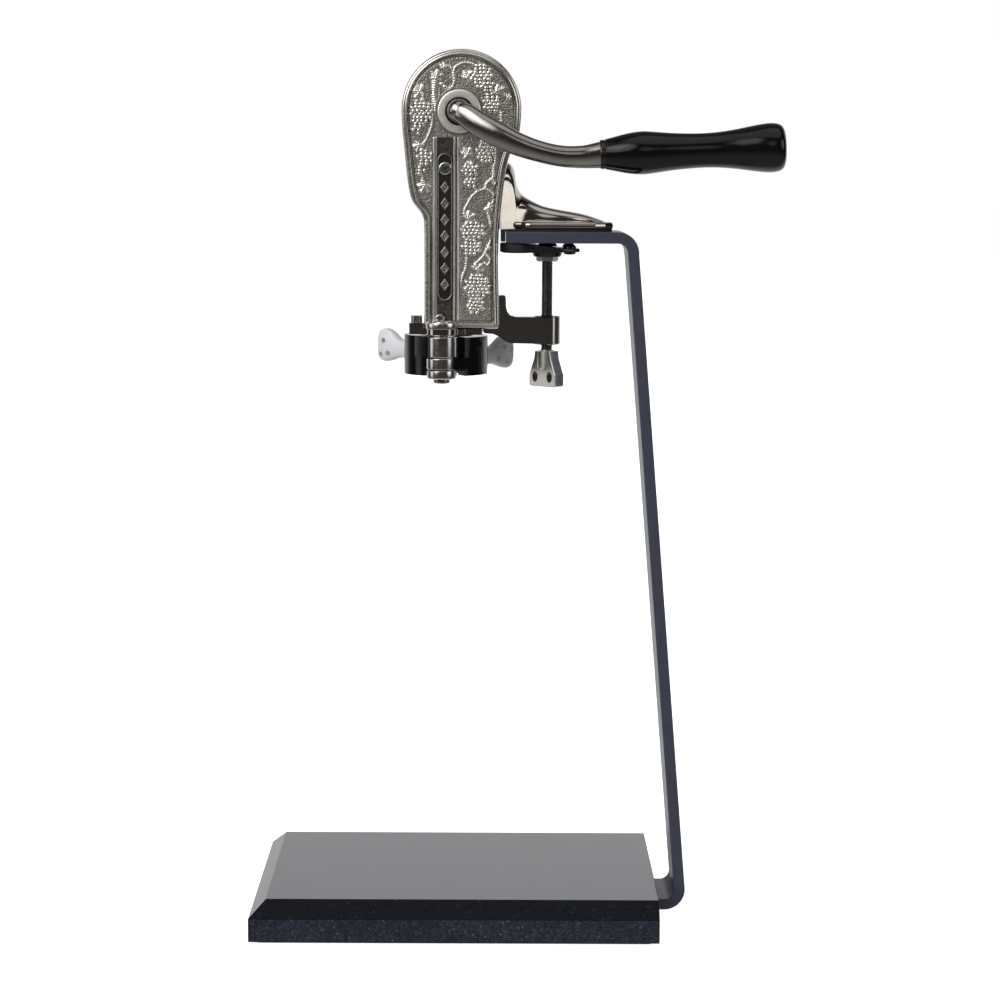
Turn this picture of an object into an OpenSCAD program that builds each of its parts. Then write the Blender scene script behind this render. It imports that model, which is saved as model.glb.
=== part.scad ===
// Lever corkscrew in a counter clamp, standing on its own weighted stand.
// Millimetres. Z is up, +X towards the crank handle, +Y away from the user.
// The origin is the centre of the stand's underside.

/* [Base] */
// Width of the stone slab along X
base_w = 269; // [200:1:320]
// Depth of the stone slab along Y
base_d = 188; // [140:1:240]
// Thickness of the stone slab
base_t = 26; // [15:1:40]
// Width of the sloped edge
bevel_w = 11; // [4:0.5:16]
// Height of the sloped edge
bevel_h = 10.4; // [4:0.5:14]
// Thickness of the felt sheet
felt_t = 1.5; // [1:0.5:3]

/* [Stand bar] */
// Width of the flat bar
bar_w = 50; // [30:1:70]
// Thickness of the flat bar
bar_t = 7.5; // [5:0.5:10]
// Height of the bar's top face
bar_top = 462; // [400:1:500]

/* [Case] */
// Height by which the corkscrew stands above its design position
lift = 16; // [0:0.5:40]
// Outer radius of the case's round head
head_r = 39.3; // [36:0.1:44]
// Wall of the case ring
wall = 3; // [2:0.5:4]

/* [Clamp] */
// Distance of the clamp screw from the stand's centre
screw_x = 60.7; // [50:0.1:72]
// Radius of the clamp screw
screw_r = 4; // [3:0.5:5]

/* [View] */
// Sub-part to draw

/* [Hidden] */
e = 0.01;
cx = 2; cz = 524;                   // crank axis, before the lift
wx = -7;                            // worm and bottle axis
slab_z = felt_t; top_z = slab_z + base_t;
foot_z0 = 3.4; foot_z1 = foot_z0 + bar_t;
ym = 22; yi = 17.4;                 // case outside and inner faces
m = 1.25; pa = 20; bl = 0.28;       // gears
Nc = 32; Ni = 16; Np = 20;
ix = cx + 16.2; iz = cz - sqrt(pow(m*(Nc+Ni)/2,2) - pow(16.2,2));
px = wx - 2 + m*Np/2; pz = iz - sqrt(pow(m*(Ni+Np)/2,2) - pow(ix-px,2));
a1 = atan2(iz-cz, ix-cx); a2 = atan2(pz-iz, px-ix);
ya0 = 12.6; ya1 = 17; yb0 = 6; yb1 = 12;
car_z0 = 493; car_z1 = 508;
lead = 11; coil_r = 3.5; wire_r = 1.5;

stone = [0.10,0.105,0.12]; dark = [0.16,0.17,0.21]; pewter = [0.62,0.58,0.53]; steel = [0.72,0.72,0.73];
black = [0.03,0.03,0.03]; brass = [0.75,0.6,0.3]; nickel = [0.7,0.68,0.64]; greyp = [0.7,0.7,0.72];

// ---------- helpers ----------
module up() translate([-1, 0, lift]) children();
module ycyl(r, y0, y1, x, z) translate([x, y1, z]) rotate([90,0,0]) cylinder(r=r, h=y1-y0, $fn=64);
module zcyl(r, z0, z1, x, y) translate([x, y, z0]) cylinder(r=r, h=z1-z0, $fn=64);
module xcyl(r, x0, x1, y, z) translate([x0, y, z]) rotate([0,90,0]) cylinder(r=r, h=x1-x0, $fn=48);
module xz(y0, y1) translate([0, y1, 0]) rotate([90,0,0]) linear_extrude(y1-y0) children();
function arc(x, z, r, s, t, n) = [for (i=[0:n]) let(a = s+(t-s)*i/n) [x+r*cos(a), z+r*sin(a)]];
function inv(a) = tan(a)*180/PI - a;
// half tooth angle at radius r of a spur gear
function half(N, r) = 90/N + inv(pa) - inv(acos(min(1, m*N/2*cos(pa)/r))) - bl/2/(m*N/2)*180/PI;
function tooth(N, c) = let(R = m*N/2, rb = R*cos(pa), ro = R+0.95*m, ri = R-1.25*m, s = max(ri+0.2, rb+0.02))
  concat([for (q=[[ri, half(N,s)+0.6]]) [q[0]*cos(c-q[1]), q[0]*sin(c-q[1])]],
         [for (i=[0:4]) let(r = s+(ro-s)*i/4, h = half(N,r)) [r*cos(c-h), r*sin(c-h)]],
         [for (i=[4:-1:0]) let(r = s+(ro-s)*i/4, h = half(N,r)) [r*cos(c+h), r*sin(c+h)]],
         [for (q=[[ri, half(N,s)+0.6]]) [q[0]*cos(c+q[1]), q[0]*sin(c+q[1])]]);
module gear(N, c) polygon([for (k=[0:N-1]) each tooth(N, c+k*360/N)]);

// ---------- case outline, x and z ----------
out_pts = concat(arc(3.5, 525, head_r, 181, 3, 44),
  [[42.6,521],[41.8,511.6],[38.6,503],[34.6,495.2],[32.2,484],[30.7,472.3],[28.6,453],[27.6,436],[28.4,410],[29,382],
   [-20.8,382],[-20.8,450],[-21.4,454.5],[-22.6,457.5],[-28.6,465.2],[-30.2,470],[-32.3,483.4],[-34,502.4],[-35.4,513]]);
module outline(d=0) offset(delta=d) polygon(out_pts);

boss = [[-27,478],[35.2,507.6],[-26,540],[-16.6,400.4]];
module boss_holes(r) for (b=boss) ycyl(r, -40, 40, b[0], b[1]);

// ---------- stand ----------
module base_slab() color(stone) difference() {
  polyhedron(points=[
   [-base_w/2,-base_d/2,slab_z],[base_w/2,-base_d/2,slab_z],[base_w/2,base_d/2,slab_z],[-base_w/2,base_d/2,slab_z],
   [-base_w/2,-base_d/2,top_z-bevel_h],[base_w/2,-base_d/2,top_z-bevel_h],[base_w/2,base_d/2,top_z-bevel_h],[-base_w/2,base_d/2,top_z-bevel_h],
   [-base_w/2+bevel_w,-base_d/2+bevel_w,top_z],[base_w/2,-base_d/2+bevel_w,top_z],[base_w/2,base_d/2-bevel_w,top_z],[-base_w/2+bevel_w,base_d/2-bevel_w,top_z]],
   faces=[[0,1,2,3],[4,5,1,0],[8,9,5,4],[7,6,10,11],[3,2,6,7],[0,3,7,4],[4,7,11,8],[1,5,9,10,6,2],[8,11,10,9]]);
  translate([76,-25.3,slab_z-1]) cube([70,50.6,foot_z1+0.2-slab_z+1]);
  for (y=[-14,14]) zcyl(4.5, foot_z1, 22.8, 102, y);
}
module base_felt() color(black) difference() {
  translate([-base_w/2+4,-base_d/2+4,0]) cube([base_w-8,base_d-8,felt_t]);
  for (y=[-14,14]) zcyl(7, -1, 3, 102, y);
}
bo = 14; bi = bo - bar_t;
lean = 4.83;
leg_x1 = 156; leg_z1 = foot_z0 + bo;
tx = leg_x1 - (bar_top-bo-leg_z1)*tan(lean);
bar_pts = concat(
  [[78,foot_z0]], arc(leg_x1-bo, foot_z0+bo, bo, -90, lean, 14),
  arc(tx-bo, bar_top-bo, bo, lean, 90, 14), [[32,bar_top],[32,bar_top-bar_t]],
  arc(tx-bo, bar_top-bo, bi, 90, lean, 14), arc(leg_x1-bo, foot_z0+bo, bi, lean, -90, 14), [[78,foot_z1]]);
module stand_bar() color(dark) difference() {
  xz(-bar_w/2, bar_w/2) polygon(bar_pts);
  for (y=[-14,14]) { zcyl(3.3, 0, 14, 102, y);
    translate([102,y,foot_z0-e]) cylinder(r1=6.3, r2=3.3, h=3, $fn=64); }
}
module foot_screws() color(steel) for (y=[-14,14]) difference() {
  union() { translate([102,y,foot_z0]) cylinder(r1=6, r2=3, h=3, $fn=64); zcyl(3, foot_z0, 21.5, 102, y); }
  zcyl(1.8, foot_z0-1, foot_z0+2, 102, y);
}
module foot_inserts() color(brass) for (y=[-14,14]) difference() {
  zcyl(4.45, foot_z1+0.3, 22.3, 102, y); zcyl(3.05, 0, 30, 102, y); }

// ---------- case ----------
module case_ring() color(pewter) difference() {
  union() {
    xz(-yi, yi) difference() { outline(0); outline(-wall); }
    intersection() {
      xz(-yi, yi) outline(-wall/2);
      union() for (b=boss) ycyl(4.2, -yi, yi, b[0], b[1]);
    }
  }
  boss_holes(2.05);
  translate([23,-14.3,384]) cube([12,28.6,94.4]);
  ycyl(11.7, 5.6, yi+1, ix, iz);
  translate([-40,-16,381]) cube([80,32,6]);
  translate([18,-9.5,380]) cube([20,19,10]);
}
module cover(y0, y1, s) difference() {
  xz(y0, y1) outline(0);
  translate([0, s<0 ? y0-e : y1-1.5+e, 0]) xz(0, 1.5) outline(-3.6);
  ycyl(9, -40, 40, cx, cz);
}
module cover_near() color(pewter) difference() {
  cover(-ym, -yi, -1);
  for (b=boss) ycyl(2.05, -20, 0, b[0], b[1]);
  for (z=strip_z) ycyl(1.85, -30, 0, strip_x, z);
}
module cover_far() color(pewter) difference() {
  cover(yi, ym, 1);
  boss_holes(2.2);
  for (b=boss) ycyl(3.8, ym-1.52, ym+1, b[0], b[1]);
  ycyl(3, 0, ym-1, ix, iz); ycyl(3, 0, ym-1, px, pz);
}
module cover_screws() color(steel) for (b=boss) difference() {
  union() { ycyl(2, -19.8, ym-1.5, b[0], b[1]); translate([b[0], ym-1.5+1.8, b[1]]) rotate([90,0,0]) cylinder(r1=3, r2=3.6, h=1.8, $fn=48); }
  ycyl(1.2, ym-0.6, ym+2, b[0], b[1]); }
strip_x = -7.2; strip_z = [487,403];
module name_strip() color(black) difference() {
  xz(-ym, -ym+1.48) union() { translate([strip_x-5.5,403]) square([11,92]); translate([strip_x,495]) circle(r=5.5,$fn=48); translate([strip_x,403]) circle(r=5.5,$fn=48); }
  for (z=strip_z) ycyl(2.2, -30, 0, strip_x, z);
}
module strip_screws() color(steel) for (z=strip_z) difference() {
  union() { ycyl(1.8, -ym+1.2, -18, strip_x, z); translate([strip_x,-ym,z]) rotate([90,0,0]) cylinder(r1=4.1, r2=3, h=1.4, $fn=48); ycyl(2.1,-ym-0.1,-ym+1.4,strip_x,z);}
  translate([strip_x-4,-ym-2,z-0.4]) cube([8,1.2,0.8]); }
module case_floor() color(pewter) difference() {
  translate([-20.5,-15.9,382]) cube([43.2,31.8,3.8]);
  zcyl(12, 380, 390, wx, 0);
  translate([17.9,-9.6,380]) cube([20,19.2,10]);
  for (p=[[13,-12],[13,12],[-17.6,12.5],[-17.6,-12.5]]) zcyl(1.65, 380, 390, p[0], p[1]);
}

// ---------- counter clamp ----------
foot_top = [[23.4,478],[31.6,478.1],[32.35,484],[33.65,490],[35.4,490.6],[37.4,488.4],[38.7,485],[39.3,481],[39.8,477.4],[41.8,472],[46.6,467.9],[53,464.2],[58.2,462],[65.9,460.5],[76.4,458.9],[83.7,457.6],[90,455.8],[96.2,453.6],[100.5,451.4],[104,448.8],[36,448.8],[36,448.8],[31,448.8],[23.4,448.8]];
web_plan = [[27,21.3],[30,20.6],[32.6,18.8],[35.2,16],[38.4,13.2],[42.5,11.2],[48.5,9.8],[56,9.1],[66,9.2],[76,10.4],[86,12.6],[95,12.8],[101,10],[104,7]];
shoe_plan = [[44.4,17.2],[46,20],[49,20.8],[92,20.8],[99,17.4],[104,12.6]];
function both(p) = concat(p, [for (i=[len(p)-1:-1:0]) [p[i][0], -p[i][1]]]);
module clamp_arm_upper() color(nickel) difference() {
  union() {
    difference() {
      intersection() {
        xz(-22, 22) polygon(foot_top);
        translate([0,0,430]) linear_extrude(64) polygon(both(web_plan));
      }
      xz(-30, 30) outline(0.1);
    }
    intersection() {
      xz(-22, 22) polygon(foot_top);
      translate([23.4,-13.9,430]) cube([11,27.8,64]);
    }
    intersection() {
      xz(-22, 22) polygon([[40,448.8],[104,448.8],[100.5,451.4],[98.6,452.2],[40,452.2]]);
      translate([0,0,440]) linear_extrude(20) polygon(both(shoe_plan));
    }
    translate([23.4,-13.9,384.2]) cube([4.6,27.8,93.8]);
  }
  for (z=[398,440]) xcyl(2.05, 20, 40, 0, z);
  translate([20,-9.05,380]) cube([10,18.1,10]);
}
module upper_pad() color(black) translate([40,-17,bar_top-lift]) cube([56,34,448.8-bar_top+lift]);
module clamp_arm_lower() color(dark) difference() {
  union() {
    xz(-9, 9) polygon([[18,378],[25,377.6],[32,372],[36,371.2],[60,371.2],[60,389.2],[38,389.2],[34,391],[33.2,396],[33.2,404],[28.4,404],[28.4,389.9],[18,389.9]]);
    zcyl(9, 370.6, 389.6, screw_x, 0);
  }
  zcyl(screw_r+0.05, 360, 400, screw_x, 0);
  xcyl(1.65, 20, 40, 0, 398);
}
module arm_screws() color(steel) {
  xcyl(1.6, 20.5, 32, 0, 398); xcyl(3.2, 20.9, 23.4, 0, 398);
}

// ---------- crank ----------
module bush_near() color(nickel) difference() {
  union() { ycyl(8.95, -23.6, -yi, cx, cz); ycyl(14.2, -23.6, -22, cx, cz); } ycyl(6.05, -40, 0, cx, cz); }
module bush_far() color(nickel) difference() {
  union() { ycyl(8.95, yi, 23.6, cx, cz); ycyl(12, 22, 24.2, cx, cz); } ycyl(6.05, 0, 22.4, cx, cz); }
module crank_shaft() color(steel) difference() { union() { ycyl(6, -38.15, 22.2, cx, cz); ycyl(7.5, ya0-2.2, ya0, cx, cz); } ycyl(1.65,-45,-30,cx,cz);}
module hub_collar() color(nickel) difference() { ycyl(8.7, -26, -24, cx, cz); ycyl(6, -60, 0, cx, cz); }
module crank_gear() color(brass) xz(ya0, ya1) difference() { translate([cx,cz]) gear(Nc, a1); translate([cx,cz]) circle(r=6,$fn=64);
  for (k=[0:4]) translate([cx+12.5*cos(k*72),cz+12.5*sin(k*72)]) circle(r=3,$fn=32); }

// lever arm: swept oval from the hub to the ferrule
P = [[0,-40.5,525],[7,-43.6,520.8],[15,-47.4,514],[27,-51.2,506.4],[41,-53,500.2],[56,-53.6,496.6],[71,-54,495.4],[86,-54,495.8],[93,-54,496.2]];
A = [6.6,8.6,9.4,9.4,9.1,8.6,8.2,8.0,8.0];   // half height
B = [4.6,5.6,6.2,6.4,6.4,6.2,6.0,6.0,6.0];   // half depth
function lerp(a,b,t)=a+(b-a)*t;
function cr(p,i,t)=let(n=len(p)-1,a=p[max(i-1,0)],b=p[i],c=p[min(i+1,n)],d=p[min(i+2,n)])
  0.5*(2*b+(c-a)*t+(2*a-5*b+4*c-d)*t*t+(3*b-a-3*c+d)*t*t*t);
function unit(v)=v/norm(v);
function ring(c,t,a,b,n)=let(u=unit(cross(t,[0,1,0])),w=unit(cross(t,u)))
  [for(k=[0:n-1]) let(q=360*k/n) c+u*a*cos(q)+w*b*sin(q)];
module sweep(pts, n) {
  N=len(pts)/n;
  polyhedron(points=pts, faces=concat([[for(k=[0:n-1]) k]],[[for(k=[n-1:-1:0]) (N-1)*n+k]],
    [for(i=[0:N-2]) for(k=[0:n-1]) let(a=i*n+k,b=i*n+(k+1)%n) each [[a,a+n,b+n],[a,b+n,b]]]), convexity=6);
}
LP = concat([for(i=[0:len(P)-2]) for(s=[0:3]) [cr(P,i,s/4), lerp(A[i],A[i+1],s/4), lerp(B[i],B[i+1],s/4)]], [[P[8],A[8],B[8]]]);
module lever_arm() color(dark) difference() {
  union() {
    sweep([for(i=[0:len(LP)-1]) let(t = unit(LP[min(i+1,len(LP)-1)][0]-LP[max(i-1,0)][0])) each ring(LP[i][0],t,LP[i][1],LP[i][2],24)], 24);
    ycyl(7.6, -43, -26, cx, cz);
  }
  ycyl(6, -38.2, -20, cx, cz);
  on_grip() { cylinder(r=14, h=12, $fn=48); translate([0,0,-3.2]) cylinder(r=3.05, h=5, $fn=48); }
}
gy = -54; 
function gz(x) = 496.4 + (x-93)*0.045;
ga = atan(0.045);
module on_grip() translate([93,gy,496.4]) rotate([0,90-ga,0]) children();
module grip_ferrule() color(nickel) on_grip() difference() { cylinder(r=9.6, h=3.2, $fn=64); translate([0,0,-1]) cylinder(r=4, h=6, $fn=48); }
module grip() color(black) on_grip() difference() {
  rotate_extrude($fn=64) polygon([[3.05,3.2],[9.7,3.2],[10.6,6],[12.6,18],[13.8,27],[13.4,34],[12.2,46],[11.2,60],[11.0,68],[11.6,78],[13.2,90],[15.0,100],[15.7,107],[15.2,112],[12.8,116.4],[7,118],[7,114],[3.05,114]]);
}
module grip_cap() color(nickel) on_grip() { translate([0,0,114]) cylinder(r=6.9, h=4.4, $fn=64); translate([0,0,-3]) cylinder(r=3, h=117.2, $fn=48); }

// ---------- gear train ----------
module idler_pin() color(steel) ycyl(3, 5.4, ym-1, ix, iz);
module idler_gear() color(brass) xz(yb0, ya1) difference() { translate([ix,iz]) gear(Ni, a1+180+180/Ni); translate([ix,iz]) circle(r=3.05,$fn=64); }
di = (a2-(a1+180+180/Ni)) - floor((a2-(a1+180+180/Ni))/(360/Ni))*(360/Ni);
module pinion_pin() color(steel) ycyl(3, 5.4, ym-1, px, pz);
cp = a2 + 180 + di*Ni/Np + 180/Np;
module pinion_gear() color(brass) xz(yb0, yb1) difference() { translate([px,pz]) gear(Np, cp); translate([px,pz]) circle(r=3.05,$fn=64); }
dp = (180-cp) - floor((180-cp)/(360/Np))*(360/Np);
// a pinion tooth stands at 180-dp, so a rack gap is centred at pz + dp along the pitch line
rk = pz + dp*PI/180*m*Np/2;
xr = wx - 2;
module rack() color(steel) difference() {
  union() {
    xz(yb0, yb1) union() {
      translate([-16,478]) square([16+xr-1.3*m, 74]);
      intersection() { translate([-16,478]) square([20,74]);
        for (k=[-3:19]) translate([xr, rk+(k+0.5)*PI*m]) polygon([[-1.6*m,-(PI*m/4-bl/2)-1.6*m*tan(pa)],[0.95*m,-(PI*m/4-bl/2)+0.95*m*tan(pa)],[0.95*m,(PI*m/4-bl/2)-0.95*m*tan(pa)],[-1.6*m,(PI*m/4-bl/2)+1.6*m*tan(pa)]]); }
    }
    translate([-16,4.6,car_z0]) cube([5.3,1.5,car_z1-car_z0]);
  }
  for (z=[497,504]) { ycyl(1.55, 0, 20, -13.3, z); ycyl(2.5, 10.2, 20, -13.3, z); }
}
module rack_screws() color(steel) for (z=[497,504]) { ycyl(1.5, -3, 11, -13.3, z); ycyl(2.4, 10.2, 11.8, -13.3, z); }
module carriage() color(greyp) difference() {
  translate([-16.3,-15,car_z0]) cube([36.6,19.5,car_z1-car_z0]);
  zcyl(4.1, car_z0-1, 504, wx, 0); zcyl(3.3, 400, 520, wx, 0); zcyl(4.15, 503.9, 520, wx, 0);
  zcyl(2.05, 400, 520, wx, -11.5); zcyl(2.55, 400, 520, 14, -5);
  for (z=[497,504]) ycyl(1.5, -3.3, 6, -13.3, z);
}
module guide_rods() color(steel) { zcyl(2, 386, 514.6, wx, -11.5); zcyl(2.5, 386, 514.6, 14, -5); }
module guide_bridge() color(greyp) difference() {
  union() { translate([-16.3,-15.5,510.6]) cube([36.6,16,4]); translate([-16.3,-yi,510.6]) cube([36.6,5,4]); }
  zcyl(2.05, 400, 520, wx, -11.5); zcyl(2.55, 400, 520, 14, -5); }

// ---------- worm ----------
wz1 = 491; wz0 = 386.5;
function wr(z) = let(t=min(1,max(0,(wz1+1-z)/7))) coil_r*t*t*(3-2*t);
function tipr(z) = wire_r*min(1,0.25+(z-wz0)/8);
wn = 250;
W = [for(i=[0:wn]) let(z=wz1+2-(wz1+2-wz0)*i/wn, a=(z-wz0)*360/lead) [wx+wr(z)*cos(a), wr(z)*sin(a), z]];
module worm() color(steel) union() {
  sweep([for(i=[0:wn]) let(t=unit(W[min(i+1,wn)]-W[max(i-1,0)]), u=unit(cross(t,[0.3,0.2,1])), v=cross(t,u), r=tipr(W[i][2]))
    each [for(k=[0:7]) W[i]+r*(u*cos(45*k)+v*sin(45*k))]], 8);
  zcyl(3, 492.2, 508, wx, 0);
}
module worm_bearing() color(brass) difference() { zcyl(4.1, car_z0, 503.5, wx, 0); zcyl(3.05, 400, 520, wx, 0); }
module worm_collar() color(nickel) difference() { zcyl(4.05, 504, 507.6, wx, 0); zcyl(3, 400, 520, wx, 0); }
module worm_nut() color(brass) difference() {
  translate([-17.4,-15,386]) cube([38,27,8]);
  zcyl(5.4, 380, 400, wx, 0);
  zcyl(2.05, 380, 400, wx, -11.5); zcyl(2.55, 380, 400, 14, -5);
  translate([wx,0,392.0]) rotate([0,90,0]) cylinder(r=1.25, h=12, $fn=32);
  translate([22.8,-14.3,380]) cube([12,28.6,20]);
  translate([17.9,-9.1,380]) cube([10,18.2,10.05]);
}
module nut_pins() color(steel) translate([wx+3.6,0,392.0]) rotate([0,90,0]) cylinder(r=1.2, h=8, $fn=32);
module neck_stop() color(black) difference() { zcyl(11.8, 378.2, 385.6, wx, 0); zcyl(7.5, 370, 390, wx, 0); }

// ---------- bottle-neck jaws ----------
hx = -9; hy = -28;
module jaw_bracket() color(dark) difference() {
  union() {
    zcyl(10.3, 378, 386.4, hx, hy);
    translate([hx-10.3,-28,378]) cube([20.6,5.7,8.4]);
    translate([-20.5,-22.5,378]) cube([38.4,38,3.9]);
    translate([-31,-19,378]) cube([10.6,11,3.9]);
    translate([-31,-19,378]) cube([10.1,11,7.5]);
  }
  translate([-20.85,-22.05,381.95]) cube([60,30,10]);
  zcyl(4.05, 370, 390, hx, hy);
  zcyl(12, 370, 390, wx, 0);
  translate([17.2,-9.7,370]) cube([9,19.4,20]);
  for (p=[[13,-12],[13,12],[-17.6,12.5],[-17.6,-12.5]]) { zcyl(1.75, 370, 390, p[0], p[1]); zcyl(2.9, 370, 380, p[0], p[1]); }
}
module bracket_screws() color(steel) {
  for (p=[[13,-12],[13,12],[-17.6,12.5],[-17.6,-12.5]]) { zcyl(1.6, 378.4, 385.6, p[0], p[1]); zcyl(2.8, 378.4, 379.9, p[0], p[1]); }
  zcyl(2.9, 385.5, 390.5, -26, -13.5);
}
module jaw_pin() color(steel) { zcyl(4, 349.2, 386.2, hx, hy); zcyl(5.5, 346.4, 349.2, hx, hy); zcyl(6.6, 386.4, 388, hx, hy); zcyl(4, 386, 387, hx, hy); }
module jaw_pin_nut() color(steel) difference() { zcyl(10, 349.4, 355.2, hx, hy); zcyl(4, 340, 360, hx, hy); }
// plan outline of a jaw: s = -1 left, 1 right
function jaw_plan(s, r0, r1, x0) = concat(
  [for (i=[0:16]) let(a = -62+(i/16)*(136)) [wx+s*r1*cos(a), r1*sin(a)]],
  [for (i=[16:-1:0]) let(a = -62+(i/16)*(136)) [wx+s*r0*cos(a), r0*sin(a)]]);
module jaw(s, z0, z1, k0, k1) difference() {
  union() {
    translate([0,0,z0]) linear_extrude(z1-z0) polygon(jaw_plan(s, 18.3, s<0?27.6:28.3, 0));
    translate([0,0,k0]) linear_extrude(k1-k0) polygon([[hx+s*2,hy-9],[hx+s*11,hy-4.5],[wx+s*20,-19],[wx+s*15.5,-12.2],[wx+s*9.4,-16.4],[hx+s*2,hy+9]]);
    zcyl(10, k0, k1, hx, hy);
  }
  zcyl(4.05, 340, 400, hx, hy);
}
module jaw_left() color(black) difference() { jaw(-1, 351, 377.4, 363.7, 377.4);
  zcyl(11, 340, 363.4, hx, hy); }
module jaw_right() color(black) difference() { jaw(1, 351, 376.6, 355.7, 363.3);
  zcyl(11, 363.35, 390, hx, hy); zcyl(11, 340, 355.6, hx, hy); }
module liner(s) translate([0,0,352]) linear_extrude(23.4) polygon(jaw_plan(s, 16.2, 18.3, 0));
module liner_left() color(greyp) liner(-1);
module liner_right() color(greyp) liner(1);
// flared paddle in an upright plane that runs outwards and back at 42 degrees; zc is its middle height
module handle(s, zc, holes, r) difference() {
  translate([wx,0,0]) mirror([s<0?1:0,0,0]) rotate([0,0,42]) translate([0,5,0]) rotate([90,0,0]) linear_extrude(10) difference() {
    polygon([[20,zc-10.4],[27,zc-10.2],[31,zc-9.1],[36,zc-8.4],[41,zc-8.4],[46,zc-9.6],[50,zc-11],[54,zc-11.4],[58,zc-10.6],[60.4,zc-8],[61.2,zc-4],[61.4,zc],[61.2,zc+4],[60.4,zc+8],[58,zc+10.6],[54,zc+11.4],
      [50,zc+10.4],[46,zc+7.6],[41,zc+4.2],[36,zc+3.6],[31,zc+4.6],[27,zc+6.4],[20,zc+7]]);
    for (p=holes) translate(p) circle(r=2, $fn=32);
  }
  zcyl(r, 340, 400, wx, 0);
}
module handle_left() color(greyp) handle(-1, 367.1, [[54.1,369.8],[50.1,361.3],[57.3,360.2]], 27.65);
module handle_right() color(greyp) handle(1, 362.9, [[49.5,366.5],[44.3,358.7],[53.3,356.7],[58,365.1]], 28.35);

// ---------- clamp screw ----------
module pressure_plate() color(black) difference() {
  intersection() {
    xz(-20, 20) polygon([[30.5,438.2],[82,438.2],[82,435.4],[72,432.6],[46,431.8],[34,431.8],[30.5,433]]);
    translate([0,0,420]) linear_extrude(30) polygon([[30.5,-14],[46,-20],[70,-20],[82,-13],[82,13],[70,20],[46,20],[30.5,14]]);
  }
  zcyl(4.55, 420, 436.6, screw_x, 0);
  for (y=[-12,12]) zcyl(2, 420, 436, 75.3, y);
}
module plate_studs() color(black) for (y=[-12,12]) { zcyl(1.95, 431.4, 435.9, 75.3, y); zcyl(4, 429.6, 432, 75.3, y); }
module clamp_screw() color(steel) { zcyl(screw_r, 366.4, 436.3, screw_x, 0); zcyl(5.4, 364, 366.6, screw_x, 0); }
module swivel_nut() color(nickel) difference() { translate([screw_x,0,425.4]) cylinder(r=7.2, h=6, $fn=6); zcyl(4, 400, 450, screw_x, 0); }
module wing_key() color(nickel) translate([screw_x,0,0]) rotate([0,0,-42]) difference() {
  union() {
    xz(-4.4, 4.4) polygon([[-6.7,366.2],[6.7,366.2],[7.4,361],[10.9,351.8],[11.6,350.9],[11.6,343.1],[10.7,342.2],[-10.7,342.2],[-11.6,343.1],[-11.6,350.9],[-10.9,351.8],[-7.4,361]]);
    translate([0,0,354]) cylinder(r=6.4, h=12.3, $fn=48);
  }
  for (s=[-1,1]) ycyl(2.4, -10, 10, s*6.3, 348.8);
  translate([0,0,357]) cylinder(r=3.4, h=20, $fn=48);
  translate([0,0,363.9]) cylinder(r=5.5, h=5, $fn=48);
  xcyl(1.2, -20, 20, 0, 360.5);
}
module wing_key_pin() color(steel) translate([screw_x,0,0]) rotate([0,0,-42]) union() { translate([0,0,357.2]) cylinder(r=3.3, h=6.7, $fn=48); }

base_slab();
base_felt();
stand_bar();
foot_screws();
foot_inserts();
up() case_ring();
up() cover_near();
up() cover_far();
up() cover_screws();
up() name_strip();
up() strip_screws();
up() case_floor();
up() clamp_arm_upper();
up() upper_pad();
up() clamp_arm_lower();
up() arm_screws();
up() bush_near();
up() bush_far();
up() crank_shaft();
up() hub_collar();
up() crank_gear();
up() lever_arm();
up() grip_ferrule();
up() grip();
up() grip_cap();
up() idler_pin();
up() idler_gear();
up() pinion_pin();
up() pinion_gear();
up() guide_rods();
up() guide_bridge();
up() carriage();
up() rack();
up() rack_screws();
up() worm();
up() worm_bearing();
up() worm_collar();
up() worm_nut();
up() nut_pins();
up() neck_stop();
up() jaw_bracket();
up() bracket_screws();
up() jaw_pin();
up() jaw_pin_nut();
up() jaw_left();
up() jaw_right();
up() liner_left();
up() liner_right();
up() handle_left();
up() handle_right();
up() pressure_plate();
up() plate_studs();
up() clamp_screw();
up() swivel_nut();
up() wing_key();
up() wing_key_pin();
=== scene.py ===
import math

import bmesh
import bpy
import numpy as np
from mathutils import Matrix, Vector


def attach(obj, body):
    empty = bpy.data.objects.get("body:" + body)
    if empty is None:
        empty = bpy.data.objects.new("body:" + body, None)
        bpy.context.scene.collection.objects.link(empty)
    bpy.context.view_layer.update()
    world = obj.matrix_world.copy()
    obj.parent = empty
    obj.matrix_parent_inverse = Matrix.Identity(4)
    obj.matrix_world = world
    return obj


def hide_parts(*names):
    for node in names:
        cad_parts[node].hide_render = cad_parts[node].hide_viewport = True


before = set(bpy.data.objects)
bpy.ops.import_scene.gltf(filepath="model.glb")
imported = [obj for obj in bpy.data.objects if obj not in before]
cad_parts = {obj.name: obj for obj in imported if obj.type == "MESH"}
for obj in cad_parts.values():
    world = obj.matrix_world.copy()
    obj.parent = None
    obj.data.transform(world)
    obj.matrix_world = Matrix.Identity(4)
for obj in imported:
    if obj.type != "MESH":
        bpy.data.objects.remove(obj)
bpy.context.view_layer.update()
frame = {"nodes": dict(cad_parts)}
MM = 0.001
DX, LIFT = -1.0, 16.0  # the corkscrew's design frame stands here over the stand's frame
CX, CZ = 2.0, 524.0  # crank axis in the design frame
WX = -7.0  # worm and bottle axis in the design frame
scene = bpy.context.scene


# ------------------------------------------------------------------ helpers
def up(p):
    return ((p[0] + DX) * MM, p[1] * MM, (p[2] + LIFT) * MM)


def gr(p):
    return (p[0] * MM, p[1] * MM, p[2] * MM)


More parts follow.
